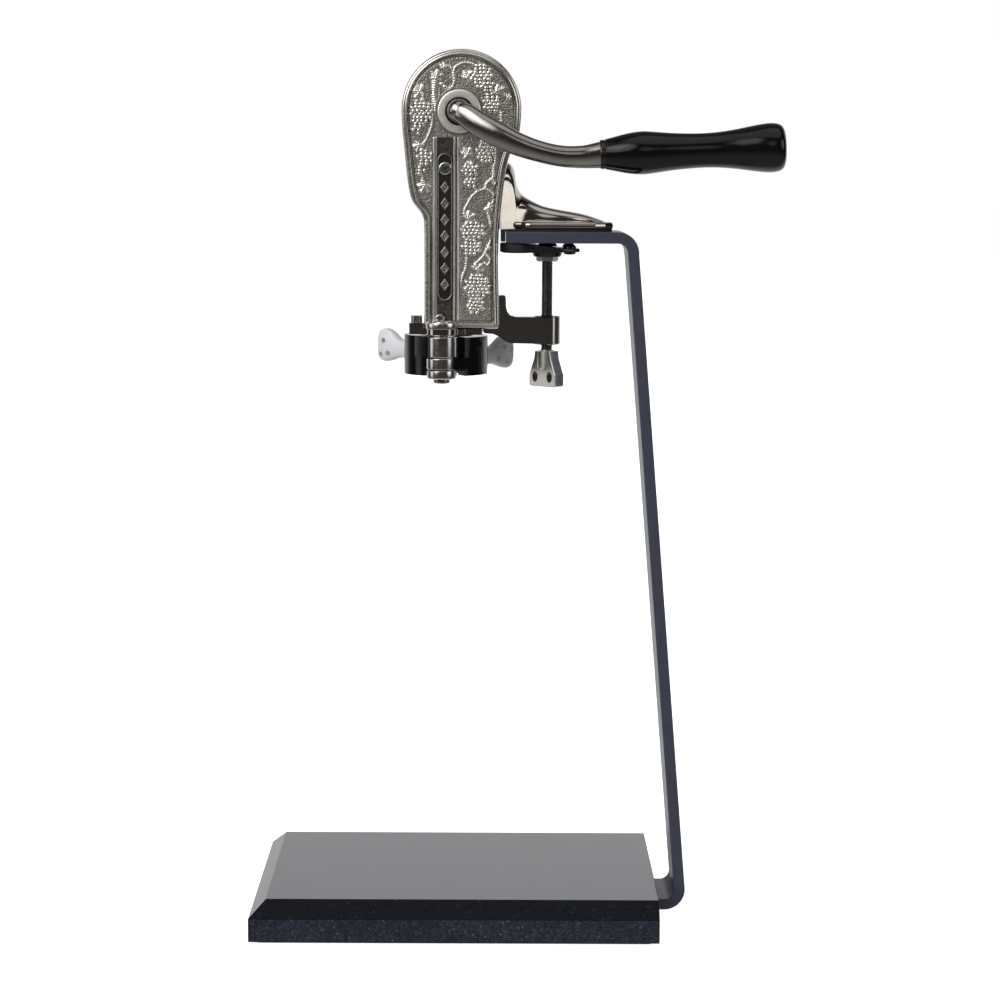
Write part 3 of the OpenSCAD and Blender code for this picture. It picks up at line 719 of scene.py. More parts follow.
def grapes(X, Z, H, cx, cz, rx, rz, r=1.36, seed=0):
    """Close rows of round berries inside an ellipse that narrows downwards."""
    rows = int(rz * 2 / (r * 1.62)) + 1
    for j in range(rows):
        z = cz + rz - r * 0.8 - j * r * 1.62
        t = (z - cz) / rz
        if abs(t) > 0.98:
            continue
        w = rx * math.sqrt(max(0, 1 - t * t))
        n = max(1, int(2 * w / (r * 1.8)))
        for i in range(n):
            h1 = math.sin((j * 12.99 + i * 78.2 + seed * 37.7)) * 43758.5
            h1 -= math.floor(h1)
            h2 = math.sin((j * 39.3 + i * 11.1 + seed * 17.3)) * 2643.5
            h2 -= math.floor(h2)
            x = cx - w + (i + 0.5 + (0.25 if j % 2 else -0.25)) * 2 * w / n + (h1 - 0.5) * 0.5
            zz = z + (h2 - 0.5) * 0.5
            rr = r * (0.9 + 0.25 * h2)
            crown = 0.9 * math.sqrt(max(0.0, 1 - ((x - cx) / (rx * 1.15)) ** 2 - (t / 1.15) ** 2))
            m = (np.abs(X - x) < rr) & (np.abs(Z - zz) < rr)
            d2 = ((X[m] - x) ** 2 + (Z[m] - zz) ** 2) / rr ** 2
            h = np.where(d2 < 1, crown + 0.25 + 1.0 * np.sqrt(np.clip(1 - d2, 0, 1)), 0)
            H[m] = np.maximum(H[m], h)
    return H


def leaf(X, Z, H, cx, cz, r, ang, seed=0):
    """A five-lobed leaf with ribs, its tip along ang."""
    m = (np.abs(X - cx) < r * 1.3) & (np.abs(Z - cz) < r * 1.3)
    dx, dz = X[m] - cx, Z[m] - cz
    d = np.hypot(dx, dz) + 1e-6
    t = np.arctan2(dz, dx) - math.radians(ang)
    t = (t + math.pi) % (2 * math.pi) - math.pi
    lobes = [0, 52, -52, 108, -108]
    size = [1.0, 0.92, 0.92, 0.72, 0.72]
    h = np.zeros(d.shape)
    for a, s in zip(lobes, size):
        u = t - math.radians(a)
        u = (u + math.pi) % (2 * math.pi) - math.pi
        al, ac = d * np.cos(u), d * np.sin(u)
        L = r * s
        w = 0.34 * L * np.sqrt(np.clip(1 - ((al - 0.52 * L) / (0.54 * L)) ** 2, 0, 1)) + 1e-6
        q = np.clip(1 - (ac / w) ** 2, 0, 1)
        on = (al > -0.02 * L) & (al < 1.06 * L) & (q > 0)
        body = 0.62 + 0.6 * np.sqrt(q) - 0.35 * (al / L)
        fine = 0.22 * np.cos((al - np.abs(ac) * 1.2) * 2 * math.pi / 1.5)
        ribv = 0.45 * np.exp(-(ac / 0.28) ** 2)
        h = np.where(on, np.maximum(h, body + fine + ribv), h)
    H[m] = np.maximum(H[m], h)
    return H


def vine(X, Z, H, pts, w=0.75, h=1.05, twist=1.7):
    p = [tuple(q) for q in catmull(pts, 6)]
    xs, zs = [q[0] for q in p], [q[1] for q in p]
    m = (X > min(xs) - 2) & (X < max(xs) + 2) & (Z > min(zs) - 2) & (Z < max(zs) + 2)
    D, L = seg_dist(X[m], Z[m], p)
    q = np.clip(1 - (D / w) ** 2, 0, 1)
    v = np.where(q > 0, 0.25 + h * np.sqrt(q) * (1 + 0.16 * np.sin(L * 2 * math.pi / twist)), 0)
    H[m] = np.maximum(H[m], v)
    return H


def relief(name, s, nodes):
    step = 0.36
    xs = np.arange(-34.5, 44.5, step)
    zs = np.arange(383.0, 563.0, step)
    X, Z = np.meshgrid(xs, zs)
    Xm = X if s < 0 else -X + 8.0  # the far panel carries the same ornament the other way round
    base = inside_dist(X, Z, OUT)
    H = np.zeros(X.shape)
    # hammered ground
    H += 0.42 * dots(X, Z, 0.95, 0.55, 3)
    H += 0.20 * dots(X, Z, 0.7, 0.42, 11)
    F = np.zeros(X.shape)
    if s < 0:
        A, B = X, Z
        for i, (x, z, a, b) in enumerate(CLUSTERS):
            grapes(A, B, F, x, z, a, b, seed=i)
        for i, (x, z, r, t) in enumerate(LEAVES):
            leaf(A, B, F, x, z, r, -t if False else t, i)
        for v in VINES:
            vine(A, B, F, v)
        # ringed trunk
        vine(A, B, F, TRUNK, w=3.0, h=1.0, twist=1.45)
        vine(A, B, F, TRUNK, w=2.0, h=1.25, twist=1.45)
    else:
        for i, (x, z, a, b) in enumerate(CLUSTERS_FAR):
            grapes(X, Z, F, x, z, a, b, seed=i + 20)
        for i, (x, z, r, t) in enumerate(LEAVES_FAR):
            leaf(X, Z, F, x, z, r, t, i)
        for v in VINES_FAR:
            vine(X, Z, F, v)
    H = np.where(F > 0.05, F + 0.15, H)
    st = max(abs(X[1, 0] - X[0, 0]), abs(X[0, 1] - X[0, 0]), abs(Z[1, 0] - Z[0, 0]), abs(Z[0, 1] - Z[0, 0]))
    nb = max(1, int(round(1.3 / st)))
    bl = sum(np.roll(F, k, 0) for k in range(-nb, nb + 1)) / (2 * nb + 1)
    bl = sum(np.roll(bl, k, 1) for k in range(-nb, nb + 1)) / (2 * nb + 1)
    tone = np.where(F > 0.05, np.clip(0.40 + 0.56 * (F - bl) + 0.11 * F, 0.06, 0.96), 0.12 + 0.42 * H)
    y = 20.75 + H * 0.86
    if s < 0:
        # channel for the name strip between two ribs, and the boss round the crank
        def band(x0, x1, z1, yy, tn, soft=0.25):
            m = (X > x0) & (X < x1) & (Z < z1)
            y[m] = yy
            tone[m] = tn
        z_top = 507.0
        band(-15.6, 3.0, z_top, 20.95, 0.32)
        band(-14.9, -13.9, z_top, 21.85, 0.72)
        band(-13.6, -12.5, z_top, 21.5, 0.40)
        band(-12.5, -1.5, z_top, 20.6, 0.03)
        band(-1.5, -0.5, z_top, 21.75, 0.62)
        band(-0.5, 0.9, z_top, 20.9, 0.10)
        band(0.9, 1.9, z_top, 21.85, 0.74)
    d = np.hypot(X - CX, Z - CZ)
    m = d < 15.6
    y[m] = 21.3
    tone[m] = 0.22
    # sink under the rim's floor along the edge and along the bottom rim
    e = np.clip((base - 4.9) / 0.5, 0, 1)
    y = 20.2 + (y - 20.2) * e
    tone = tone * (0.5 + 0.5 * e)
    ok = base > 4.5
    idx = -np.ones(X.shape, int)
    idx[ok] = np.arange(ok.sum())
    v = np.stack([X[ok], s * y[ok], Z[ok]], 1)
    back = np.stack([X[ok], np.full(ok.sum(), s * 18.6), Z[ok]], 1)
    n = len(v)
    q = ok[:-1, :-1] & ok[1:, :-1] & ok[:-1, 1:] & ok[1:, 1:]
    a, b, c, e2 = idx[:-1, :-1][q], idx[:-1, 1:][q], idx[1:, 1:][q], idx[1:, :-1][q]
    front = np.stack([a, b, c, e2], 1)
    faces = front.tolist()
    edges = {}
    for f in faces:
        for i in range(4):
            k = (f[i], f[(i + 1) % 4])
            if (k[1], k[0]) in edges:
                del edges[(k[1], k[0])]
            else:
                edges[k] = 1
    walls = [[k[1], k[0], k[0] + n, k[1] + n] for k in edges]
    backs = [[i + n for i in f[::-1]] for f in faces]
    me = bpy.data.meshes.new(name)
    allv = np.concatenate([v, back])
    allv[:, 0] += DX
    allv[:, 2] += LIFT
    me.from_pydata((allv * MM).tolist(), [], faces + walls + backs)
    at = me.attributes.new("height", "FLOAT", "POINT")
    at.data.foreach_set("value", np.concatenate([tone[ok], np.zeros(n)]).astype(np.float32))
    me.validate()
    o = bpy.data.objects.new(name, me)
    scene.collection.objects.link(o)
    bm = bmesh.new()
    bm.from_mesh(me)
    loose = [x for x in bm.verts if not x.link_faces]
    bmesh.ops.delete(bm, geom=loose, context="VERTS")
    bmesh.ops.recalc_face_normals(bm, faces=bm.faces)
    bm.to_mesh(me)
    bm.free()
    for p in me.polygons:
        p.use_smooth = True
    me.set_sharp_from_angle(angle=math.radians(75))
    done(o, "stand", M_PEWTER, nodes)
    return o


TRUNK = [(-12.6, 546.5), (-13.6, 541), (-14.0, 535), (-13.2, 529), (-12.8, 524)]
CLUSTERS_FAR = [(8.0 - x, z, a, b) for x, z, a, b in CLUSTERS] + [(-2, 500, 8, 6), (-3.0, 470, 7, 6.5), (2.0, 428, 8, 8), (4, 400, 7, 8)]
LEAVES_FAR = [(8.0 - x, z, r, 180 - t) for x, z, r, t in LEAVES] + [(4, 488, 5, 200), (12, 440, 5, 30), (-10, 414, 5, 90), (8, 450, 5.5, 60)]
VINES_FAR = [[(8.0 - x, z) for x, z in v] for v in VINES] + [[(6, 506), (2, 494), (4, 482), (0, 472)], [(10, 462), (6, 448), (10, 436), (6, 424), (8, 410)]]
M_RIMEDGE = metal("rim_edge", (0.66, 0.635, 0.58), 0.24, var=0.08, rvar=0.08)


def case():
    rim("cover_rim_near", -1, ["cover_near"])
    rim("cover_rim_far", 1, ["cover_far"])
    relief("cover_relief_near", -1, ["cover_near"])
    relief("cover_relief_far", 1, ["cover_far"])


M_CASEWALL = metal("case_wall", (0.46, 0.445, 0.42), 0.22, var=0.08, rvar=0.08)
case()


def name_strip():
    zc, hw = -7.2, 4.9
    z0, z1 = 400.5, 497.0
    cap = [(zc + hw * math.cos(math.radians(a)), z1 - hw + hw * math.sin(math.radians(a))) for a in range(0, 181, 9)]
    cap += [(zc + hw * math.cos(math.radians(a)), z0 + hw + hw * math.sin(math.radians(a))) for a in range(180, 361, 9)]
    s = -1
    rings = [[(x, s * y, z) for x, z in offset_poly(cap, d)] for d, y in ((0, 20.5), (0, 21.55), (0.15, 21.75), (0.45, 21.8), (0.75, 21.7), (0.9, 21.35), (1.05, 21.05), (1.3, 21.0))]
    o = loft_rings("strip", rings, caps=(True, True), angle=50)
    done(o, "stand", [M_STRIP_AND_SLOT_SHADE, M_STRIPRIM], ["name_strip"])
    m = len(cap)
    for i, p in enumerate(o.data.polygons):
        p.material_index = 1 if 1 <= i // m <= 4 else 0
    # seven plain raised lozenges
    for k in range(7):
        z = 474.6 - 10.62 * k
        lo = [(zc, z + 4.1), (zc + 2.9, z), (zc, z - 4.1), (zc - 2.9, z)]
        inner = [(zc, z + 2.1), (zc + 1.45, z), (zc, z - 2.1), (zc - 1.45, z)]
        rings = []
        for P, y in ((offset_poly(lo, 0), 20.9), (offset_poly(lo, 0.05), 21.75), (offset_poly(lo, 0.3), 21.95), (offset_poly(inner, -0.3), 21.95), (offset_poly(inner, -0.05), 21.75), (inner, 20.9)):
            rings.append([(x, -y, zz) for x, zz in P])
        q = loft_rings("lozenge_%d" % (k + 1), rings, loop=True, angle=30)
        done(q, "stand", M_ORN, ())
        b = lathe("lozenge_dot_%d" % (k + 1), [(0, -0.2), (0.95, -0.2), (0.9, 0.35), (0.6, 0.7), (0, 0.85)], (zc, -21.0, z), (0, -1, 0), 24)
        done(b, "stand", M_ORN, ())
    for i, (x, z, r) in enumerate(((-7.2, 487.0, 4.2), (-10.4, 388.4, 3.2))):
        prof = rounded([(0, 0), (r, 0), (r, 0.5), (r * 0.86, 0.95), (0, 1.15)], 0.3)
        o = lathe("strip_screw_%d" % i, prof, (x, -20.9, z), (0, -1, 0), 48)
        done(o, "stand", M_STEEL, ["strip_screws"])
        # each screw's cross slot is a thin black bar laid on the head: painted shade standing for the recessed slots
        a = 0.6 + i
        for j in (0, 1):
            a2 = a + j * math.pi / 2
            L = r * 0.62
            c, sn = math.cos(a2), math.sin(a2)
            P = [(x + c * L - sn * 0.32, z + sn * L + c * 0.32), (x - c * L - sn * 0.32, z - sn * L + c * 0.32), (x - c * L + sn * 0.32, z - sn * L - c * 0.32), (x + c * L + sn * 0.32, z + sn * L - c * 0.32)]
            sl = prism("strip_screw_%d_slot%d" % (i, j), P, -22.12, -21.7)
            done(sl, "stand", M_STRIP_AND_SLOT_SHADE, ())


M_ORN = metal("ornament", (0.62, 0.60, 0.56), 0.25, var=0.08)
M_STRIPRIM = metal("strip_rim", (0.36, 0.345, 0.33), 0.25, var=0.08)
name_strip()


def ring_washer():
    prof = [(8.7, 0.0), (14.3, 0.0), (14.3, 0.9), (13.9, 1.5), (13.3, 1.75), (9.6, 1.75), (9.0, 1.45), (8.7, 0.9)]
    o = lathe("ring_washer", prof, (CX, -21.25, CZ), (0, -1, 0), 96, angle=50)
    done(o, "stand", M_RING, ["bush_near"])
    o = lathe("bush_sleeve_near", [(6.05, -5.5), (8.7, -5.5), (8.7, 0.4), (6.05, 0.4)], (CX, -21.6, CZ), (0, -1, 0), 64)
    done(o, "stand", M_GUN, ["bush_near"])
    prof = rounded([(0, 0), (12, 0), (12, 1.6), (10.5, 2.2), (0, 2.5)], 0.5)
    o = lathe("bush_cap_far", prof, (CX, 21.5, CZ), (0, 1, 0), 96, angle=50)
    done(o, "stand", M_RING, ["bush_far"])


M_RING = metal("ring_satin", (0.90, 0.865, 0.79), 0.46, var=0.03, rvar=0.06)
ring_washer()


# ------------------------------------------------------------------ crank
def crank():
    nodes = frame["nodes"]
    prof = rounded([(6.05, 0), (7.6, 0), (7.6, 17.5), (6.9, 19.2), (5.2, 20.6), (0, 21.4), (0, 12.2), (6.05, 12.2)], 0.2)
    # arm: an oval bar that leaves the hub and settles into a straight run
    ctl = [((0.2, -41.0, 524.9), 4.6, 3.6), ((3.2, -42.4, 523.2), 6.6, 5.0), ((8.5, -44.6, 520.0), 7.7, 6.0), ((15.5, -47.6, 515.2), 8.1, 6.4), ((27, -51.0, 508.9), 8.1, 6.4),
           ((40, -52.8, 502.8), 7.4, 6.2), ((54, -53.6, 498.2), 6.8, 6.0), ((68, -54, 495.3), 6.8, 6.0), ((82, -54, 494.9), 7.3, 6.1), ((93.4, -54, 496.2), 8.5, 6.8)]
    P = catmull([c[0] for c in ctl], 10)
    A = catmull([(c[1], c[2]) for c in ctl], 10)
    v, f = sweep_mesh(P, lambda i: oval(A[i][0], A[i][1], 40, 2.25))
    o = obj_from("lever_arm", v, f, angle=50)
    # rounded start of the arm, inside the hub's dome
    hv, hf = lathe_mesh([(6.1, 0), (7.5, 0), (7.62, 1.0), (7.62, 12.0), (7.4, 14.6), (6.6, 17.2), (5.0, 19.0), (2.6, 20.0), (0, 20.3), (0, 12.0), (6.1, 12.0)], (CX, -26.2, CZ), (0, -1, 0), 64, closed=False)
    h = obj_from("lever_hub_tmp", hv, hf, angle=50)
    cut(o, [h], "UNION")
    done(o, "crank", M_GUN, ["lever_arm"])
    # the hub collar made black: painted shade standing for the dark gap between the ring washer and the lever's hub
    o = lathe("hub_collar_gap_shade", [(6.1, 0), (8.55, 0), (8.55, 3.4), (6.1, 3.4)], (CX, -22.2, CZ), (0, -1, 0), 72)
    done(o, "crank", M_BLACKMETAL_AND_GAP_SHADE, ["hub_collar"])
    a = math.atan(0.045)
    ax = (math.cos(a), 0, math.sin(a))
    o0 = (93, -54, 496.4)
    prof = [(0, 0.0), (9.0, 0.0), (9.25, 0.25), (9.3, 0.7), (9.3, 3.25), (0, 3.25)]
    o = lathe("grip_ferrule", prof, o0, ax, 72, angle=45)
    done(o, "crank", M_BLACKMETAL_AND_GAP_SHADE, ["grip_ferrule"])
    raw = [(9.3, 3.3), (9.75, 3.7), (10.0, 5.0), (10.9, 9), (12.2, 14.5), (13.2, 20), (13.75, 25.5), (13.7, 30), (13.1, 36), (12.3, 43), (11.6, 51), (11.15, 60), (11.05, 68), (11.5, 77), (12.6, 86.5),
           (14.0, 95), (15.2, 102.5), (15.75, 108), (15.65, 112), (14.9, 115.2), (13.4, 117.3), (11.2, 118.4), (9.0, 118.8)]
    sm = [tuple(p) for p in catmull(raw, 5)]
    prof = [(3.1, 3.3)] + sm + [(7.3, 118.5), (7.1, 117.2), (3.1, 117.2)]
    o = lathe("grip", prof, o0, ax, 96, angle=60)
    done(o, "crank", M_GLOSS, ["grip"])
    o = lathe("grip_cap", [(0, 116.5), (6.9, 116.5), (6.9, 118.0), (6.5, 118.55), (5.0, 118.9), (0, 119.1)], o0, ax, 64, angle=50)
    done(o, "crank", M_BLACKMETAL_AND_GAP_SHADE, ["grip_cap"])


# black metal of the ferrule and grip cap, also used as painted shade on the hub collar
M_BLACKMETAL_AND_GAP_SHADE = metal("black_metal_and_gap_shade", (0.05, 0.048, 0.046), 0.25, var=0.1)
crank()


# ------------------------------------------------------------------ clamp
def clamp():
    # upper foot: a web that leaves the case, thins to a rounded ridge and ends on a flat shoe
    st = [  # x, top z, half width, height of the rounding
        (26.5, 490.6, 21.5, 12.0), (30.0, 490.6, 19.9, 12.0), (33.0, 490.6, 18.1, 12.5), (35.4, 490.5, 16.7, 14.0), (37.3, 488.5, 15.6, 16.0), (38.5, 485.4, 14.9, 17.5), (39.2, 481.6, 14.5, 18.5), (40.0, 477.2, 14.0, 18.8),
        (41.8, 472.2, 13.0, 17.5), (44.2, 469.6, 11.8, 15.0), (46.8, 467.7, 10.8, 13.0), (49.5, 466.2, 10.1, 11.6), (53.0, 464.4, 9.6, 10.2), (58.2, 462.3, 9.2, 8.4), (65.9, 460.6, 9.3, 7.0),
        (76.4, 458.9, 10.4, 5.6), (83.7, 457.6, 11.7, 4.6), (90.0, 455.9, 12.6, 3.1), (96.2, 453.7, 12.5, 1.4), (100.5, 451.5, 10.2, 1.0), (103.4, 449.6, 7.2, 0.6)]
    zb = 447.5
    rings = []
    for x, zt, w, hr in [tuple(p) for p in catmull(st, 3)]:
        z0 = max(zt - hr, zb + 0.3)
        fl = min(2.8, max(0.0, z0 - 452.4)) * min(1.0, max(0.0, (x - 43.0) / 5.0))
        half = [(w * math.cos(t) ** 0.80 if t < 1.5707 else 0.0, z0 + (zt - z0) * math.sin(t) ** 0.80) for t in [math.pi / 2 * (1 - k / 10) for k in range(11)]]
        half += [(w + fl * (1 - math.cos(math.pi / 2 * k / 5)), 452.0 + max(fl, 0.15) * (1 - math.sin(math.pi / 2 * k / 5))) if z0 > 452.3 else (w, z0 - (z0 - zb) * 0.1 * (k + 1)) for k in range(6)]
        half += [(half[-1][0], zb)]
        rings.append([(x, -y, z) for y, z in half] + [(x, y, z) for y, z in half[::-1][:-1]] + [])
    o = loft_rings("clamp_foot", rings, caps=(True, True), angle=40)
    cut(o, [prism("case_tmp", offset_poly(OUT, -0.12), -30, 30)])
    plan = [(44.4, 17.0), (45.6, 19.8), (48.5, 20.8), (91.5, 20.8), (98.4, 17.4), (103.8, 12.4)]
    plan = [tuple(p) for p in plan] + [(x, -y) for x, y in plan[::-1]]
    shoe = prism("shoe_tmp", fillet(plan, 2.2, 5), 447.5, 452.2, axis="Z")
    bevel(shoe, 1.9, 5, 40)
    cut(o, [shoe], "UNION")
    sp = prism("spine", [(23.45, 384.3), (27.6, 384.3), (27.6, 440), (28.0, 447.6), (30.2, 448.0), (32.2, 477.8), (23.45, 477.8)], -13.95, 13.95)
    cut(o, [sp], "UNION")
    cut(o, [prism("nt_tmp", [(20, -9.1), (29.0, -9.1), (29.0, 9.1), (20, 9.1)], 380, 390, axis="Z")])
    done(o, "stand", M_FOOT, ["clamp_arm_upper"])
    pp = [(29.6, 20.2), (91.2, 20.2), (98.0, 16.9), (103.2, 12.2)]
    pad = prism("clamp_pad", fillet([(x, -y) for x, y in pp] + pp[::-1], 2.2), 446.03, 447.48, axis="Z")
    # a black rubber lip hung down between the case and the bar's end: painted shade filling the dark gap there
    lip = prism("gap_shade_lip_tmp", [(29.6, 439.4), (32.6, 439.4), (32.6, 447.2), (29.6, 447.2)], -20.2, 20.2)
    cut(pad, [lip], "UNION")
    bevel(pad, 0.3, 2, 40)
    done(pad, "stand", M_RUBBER_AND_GAP_SHADE, ["upper_pad"])
    # lower arm with its boss
    poly = [(18, 378.2), (24.5, 377.8), (28.5, 376.2), (32.4, 373.2), (36.5, 371.6), (60, 371.2), (60, 389.2), (40, 389.2), (36, 390.2), (34.2, 392.6), (33.4, 396), (33.2, 403.6), (28.6, 403.6), (28.6, 389.8), (18, 389.8)]
    poly = fillet(poly, 2.2, 5)
    o = prism("clamp_arm_lower", poly, -9, 9)
    b = lathe("boss_tmp", [(0, 370.4), (8.3, 370.4), (9.1, 371.2), (9.1, 388.9), (8.3, 389.7), (0, 389.7)], (60.7, 0, 0), (0, 0, 1), 72, closed=False)
    cut(o, [b], "UNION")
    cut(o, [cyl("bore_tmp", 4.15, (60.7, 0, 360), (60.7, 0, 400), 48)])
    bevel(o, 1.3, 2, 50)
    done(o, "stand", M_ARM, ["clamp_arm_lower"])


M_ARM = metal("clamp_arm", (0.52, 0.49, 0.45), 0.07, var=0.05, rvar=0.04)
clamp()


def thread(name, r, p, z0, z1, x, depth=0.62, seg=40, lift=True):
    """A right-handed screw thread with its core, closed at both ends."""
    turns = (z1 - z0) / p
    n = int(turns * seg)
    prof = [(0.0, -depth), (0.12, -depth), (0.44, 0.0), (0.56, 0.0), (0.88, -depth)]
    verts, faces = [], []
    k = len(prof)
    for i in range(n + 1):
        a = 2 * math.pi * i / seg
        z = z0 + (z1 - z0) * i / n
        for t, d in prof:
            zz = min(max(z + (t - 0.5) * p, z0), z1)
            verts.append((x + (r + d) * math.cos(a), (r + d) * math.sin(a), zz))
    for i in range(n):
        for j in range(k - 1):
            faces.append([i * k + j, (i + 1) * k + j, (i + 1) * k + j + 1, i * k + j + 1])
    for i in range(n - seg + 1):
        a, b = i * k + k - 1, (i + 1) * k + k - 1
        c, d = (i + seg) * k, (i + seg + 1) * k
        if i + seg + 1 <= n:
            faces.append([a, b, d, c])
    # close the bottom and the top with fans to the axis
    c0, c1 = len(verts), len(verts) + 1
    verts += [(x, 0, z0), (x, 0, z1)]
    for i in range(seg):
        faces.append([c0, (i + 1) * k, i * k])
        j = n - seg + i
        faces.append([c1, j * k + k - 1, (j + 1) * k + k - 1])
    faces.append([c0, 0 * k + 0, *[0 * k + j for j in range(1, k)], seg * k])
    faces.append([c1, n * k + k - 1, *[n * k + j for j in range(k - 2, -1, -1)], (n - seg) * k + k - 1])
    return obj_from(name, verts, faces, lift, True, 30)


M_WING = metal("wing_satin", (0.80, 0.78, 0.72), 0.30, var=0.03, rvar=0.05)


def clamp_screw():
    X0 = 60.7
    o = thread("clamp_screw_thread", 4.0, 1.25, 366.7, 430.0, X0)
    done(o, "screw", M_DARKSTEEL_AND_HOLE_SHADE, ["clamp_screw"])
    o = lathe("clamp_screw_neck", rounded([(0, 364.0), (5.3, 364.0), (5.3, 366.6), (4.0, 366.8), (3.3, 367.4), (0, 367.4)], 0.3), (X0, 0, 0), (0, 0, 1), 48, closed=False)
    done(o, "screw", M_NICKEL, ["clamp_screw"])
    o = lathe("clamp_screw_tip", [(0, 429.5), (3.4, 429.5), (3.4, 436.0), (3.0, 436.3), (0, 436.3)], (X0, 0, 0), (0, 0, 1), 48, closed=False)
    done(o, "screw", M_DARKSTEEL_AND_HOLE_SHADE, ["clamp_screw"])
    # hexagonal nut under the plate
    R = 7.4
    poly = [(X0 + R * math.cos(math.radians(a)), R * math.sin(math.radians(a))) for a in (0, 60, 120, 180, 240, 300)]
    o = prism("swivel_nut", poly, 425.6, 431.5, axis="Z")
    ch = lathe("nut_cham", [(4.1, 425.0), (5.6, 425.0), (5.9, 425.6), (7.6, 426.5), (7.6, 430.7), (6.3, 431.5), (4.1, 431.5)], (X0, 0, 0), (0, 0, 1), 72)
    cut(o, [ch], "INTERSECT")
    done(o, "screw", M_NICKEL, ["swivel_nut"])
    # wing key
    a = math.radians(-42)
    c, s = math.cos(a), math.sin(a)

    def tr(p):
        return (X0 + p[0] * c - p[1] * s, p[0] * s + p[1] * c, p[2])
    half = [(6.7, 366.15), (7.4, 361.0), (10.9, 351.8), (11.6, 350.9), (11.6, 343.1), (10.7, 342.2)]
    poly = half + [(-x, z) for x, z in half[::-1]]
    n = len(poly)
    verts = [tr((x, -4.4, z)) for x, z in poly] + [tr((x, 4.4, z)) for x, z in poly]
    faces = [list(range(n)), list(range(2 * n - 1, n - 1, -1))] + [[i, (i + 1) % n, n + (i + 1) % n, n + i] for i in range(n)]
    o = obj_from("wing_key", verts, faces, smooth=False)
    bevel(o, 0.55, 3, 25)
    hub = lathe("hub_tmp", [(0, 354.0), (5.9, 354.0), (6.4, 354.5), (6.4, 365.7), (5.9, 366.2), (0, 366.2)], (X0, 0, 0), (0, 0, 1), 64, closed=False)
    cut(o, [hub], "UNION")
    cs = []
    for j in (-1, 1):
        rings = []
        for y in (-8, 8):
            rings.append([tr((j * 6.3 + 2.35 * math.cos(t), y, 348.8 + 3.6 * math.sin(t))) for t in np.linspace(0, 2 * math.pi, 33)[:-1]])
        cs.append(loft_rings("oval_tmp%d" % j, rings, caps=(True, True)))
    cs.append(cyl("pin_tmp", 3.5, (X0, 0, 357.1), (X0, 0, 380), 48))
    cs.append(cyl("flange_tmp", 5.5, (X0, 0, 363.9), (X0, 0, 380), 48))
    cut(o, cs)
    done(o, "screw", [M_WING, M_DARKSTEEL_AND_HOLE_SHADE], ["wing_key", "wing_key_pin"])
    # the walls of the two oval holes take dark steel: painted shade that makes the holes look deeper
    for p in o.data.polygons:
        q = p.center / MM
        dx, dy, z = q.x - DX - X0, q.y, q.z - LIFT
        l = dx * c + dy * s
        if abs(z - 348.8) < 3.7 and abs(abs(l) - 6.3) < 2.5 and (abs(l) - 6.3) ** 2 / 2.45 ** 2 + (z - 348.8) ** 2 / 3.7 ** 2 < 1.0 and abs(-dx * s + dy * c) < 4.0:
            p.material_index = 1
    o = lathe("wing_key_core", [(0, 357.3), (3.4, 357.3), (3.4, 364.2), (0, 364.2)], (X0, 0, 0), (0, 0, 1), 48, closed=False)
    done(o, "screw", M_STEEL, ["wing_key_pin"])
    # pressure plate: a shallow dished plate, thick by the case and thin at its end
    st = [(29.2, 437.9, 432.6, 13.2), (32.4, 438.1, 431.9, 14.5), (38.0, 438.1, 431.7, 17.0), (44.0, 437.9, 431.8, 19.2), (51.0, 437.3, 432.1, 20.0), (58.0, 436.4, 432.2, 20.0), (65.0, 435.6, 432.3, 19.6), (71.0, 435.1, 432.4, 18.0), (76.0, 434.8, 432.4, 15.6), (80.0, 434.6, 432.4, 13.2), (81.8, 434.4, 432.6, 11.8)]
    rings = []
    for x, zt, zb, w in [tuple(p) for p in catmull(st, 3)]:
        rings.append([(x, -w + 0.8, zt), (x, w - 0.8, zt), (x, w - 0.2, zt - 0.3), (x, w, zt - 0.8), (x, w, zb + 0.6), (x, w - 0.6, zb), (x, -w + 0.6, zb), (x, -w, zb + 0.6), (x, -w, zt - 0.8), (x, -w + 0.2, zt - 0.3)])
    o = loft_rings("pressure_plate", rings, caps=(True, True), angle=40)
    cut(o, [cyl("pp_tmp", 4.6, (X0, 0, 420), (X0, 0, 434.4), 48)])
    bevel(o, 0.3, 2, 50)
    done(o, "plate", M_PLATE, ["pressure_plate"])
    o = lathe("plate_pivot", rounded([(0, 436.0), (6.6, 436.0), (6.2, 437.2), (5.0, 438.0), (0, 438.3)], 0.4), (X0, 0, 0), (0, 0, 1), 48, closed=False)
    done(o, "plate", M_PLATE, ["pressure_plate"])
    o = lathe("plate_boss", rounded([(7.9, 432.6), (10.2, 432.6), (9.2, 429.0), (7.9, 428.7)], 0.4), (X0, 0, 0), (0, 0, 1), 64)
    done(o, "plate", M_PLATE, ["pressure_plate"])
    for i, y in enumerate((-12, 12)):
        pr = [(0, 430.6), (3.2, 430.9), (3.9, 431.6), (3.9, 432.6), (3.0, 432.7), (3.0, 434.6), (4.3, 434.7), (4.2, 436.0), (3.2, 437.2), (1.6, 437.8), (0, 438.0)]
        o = lathe("plate_stud_%d" % i, pr, (75.3, y, 0), (0, 0, 1), 40, closed=False)
        done(o, "plate", M_PLATE, ["plate_studs"])


clamp_screw()


# ------------------------------------------------------------------ bottle-neck jaws
HX, HY = -9.0, -28.0


def plan(s, r0, r1, a0=-62, a1=74, n=28, grow=0.0):
    out = [(WX + s * r1 * math.cos(math.radians(a0 + (a1 - a0) * i / n)), r1 * math.sin(math.radians(a0 + (a1 - a0) * i / n))) for i in range(n + 1)]
    out += [(WX + s * r0 * math.cos(math.radians(a0 + (a1 - a0) * i / n)), r0 * math.sin(math.radians(a0 + (a1 - a0) * i / n))) for i in range(n, -1, -1)]
    return out


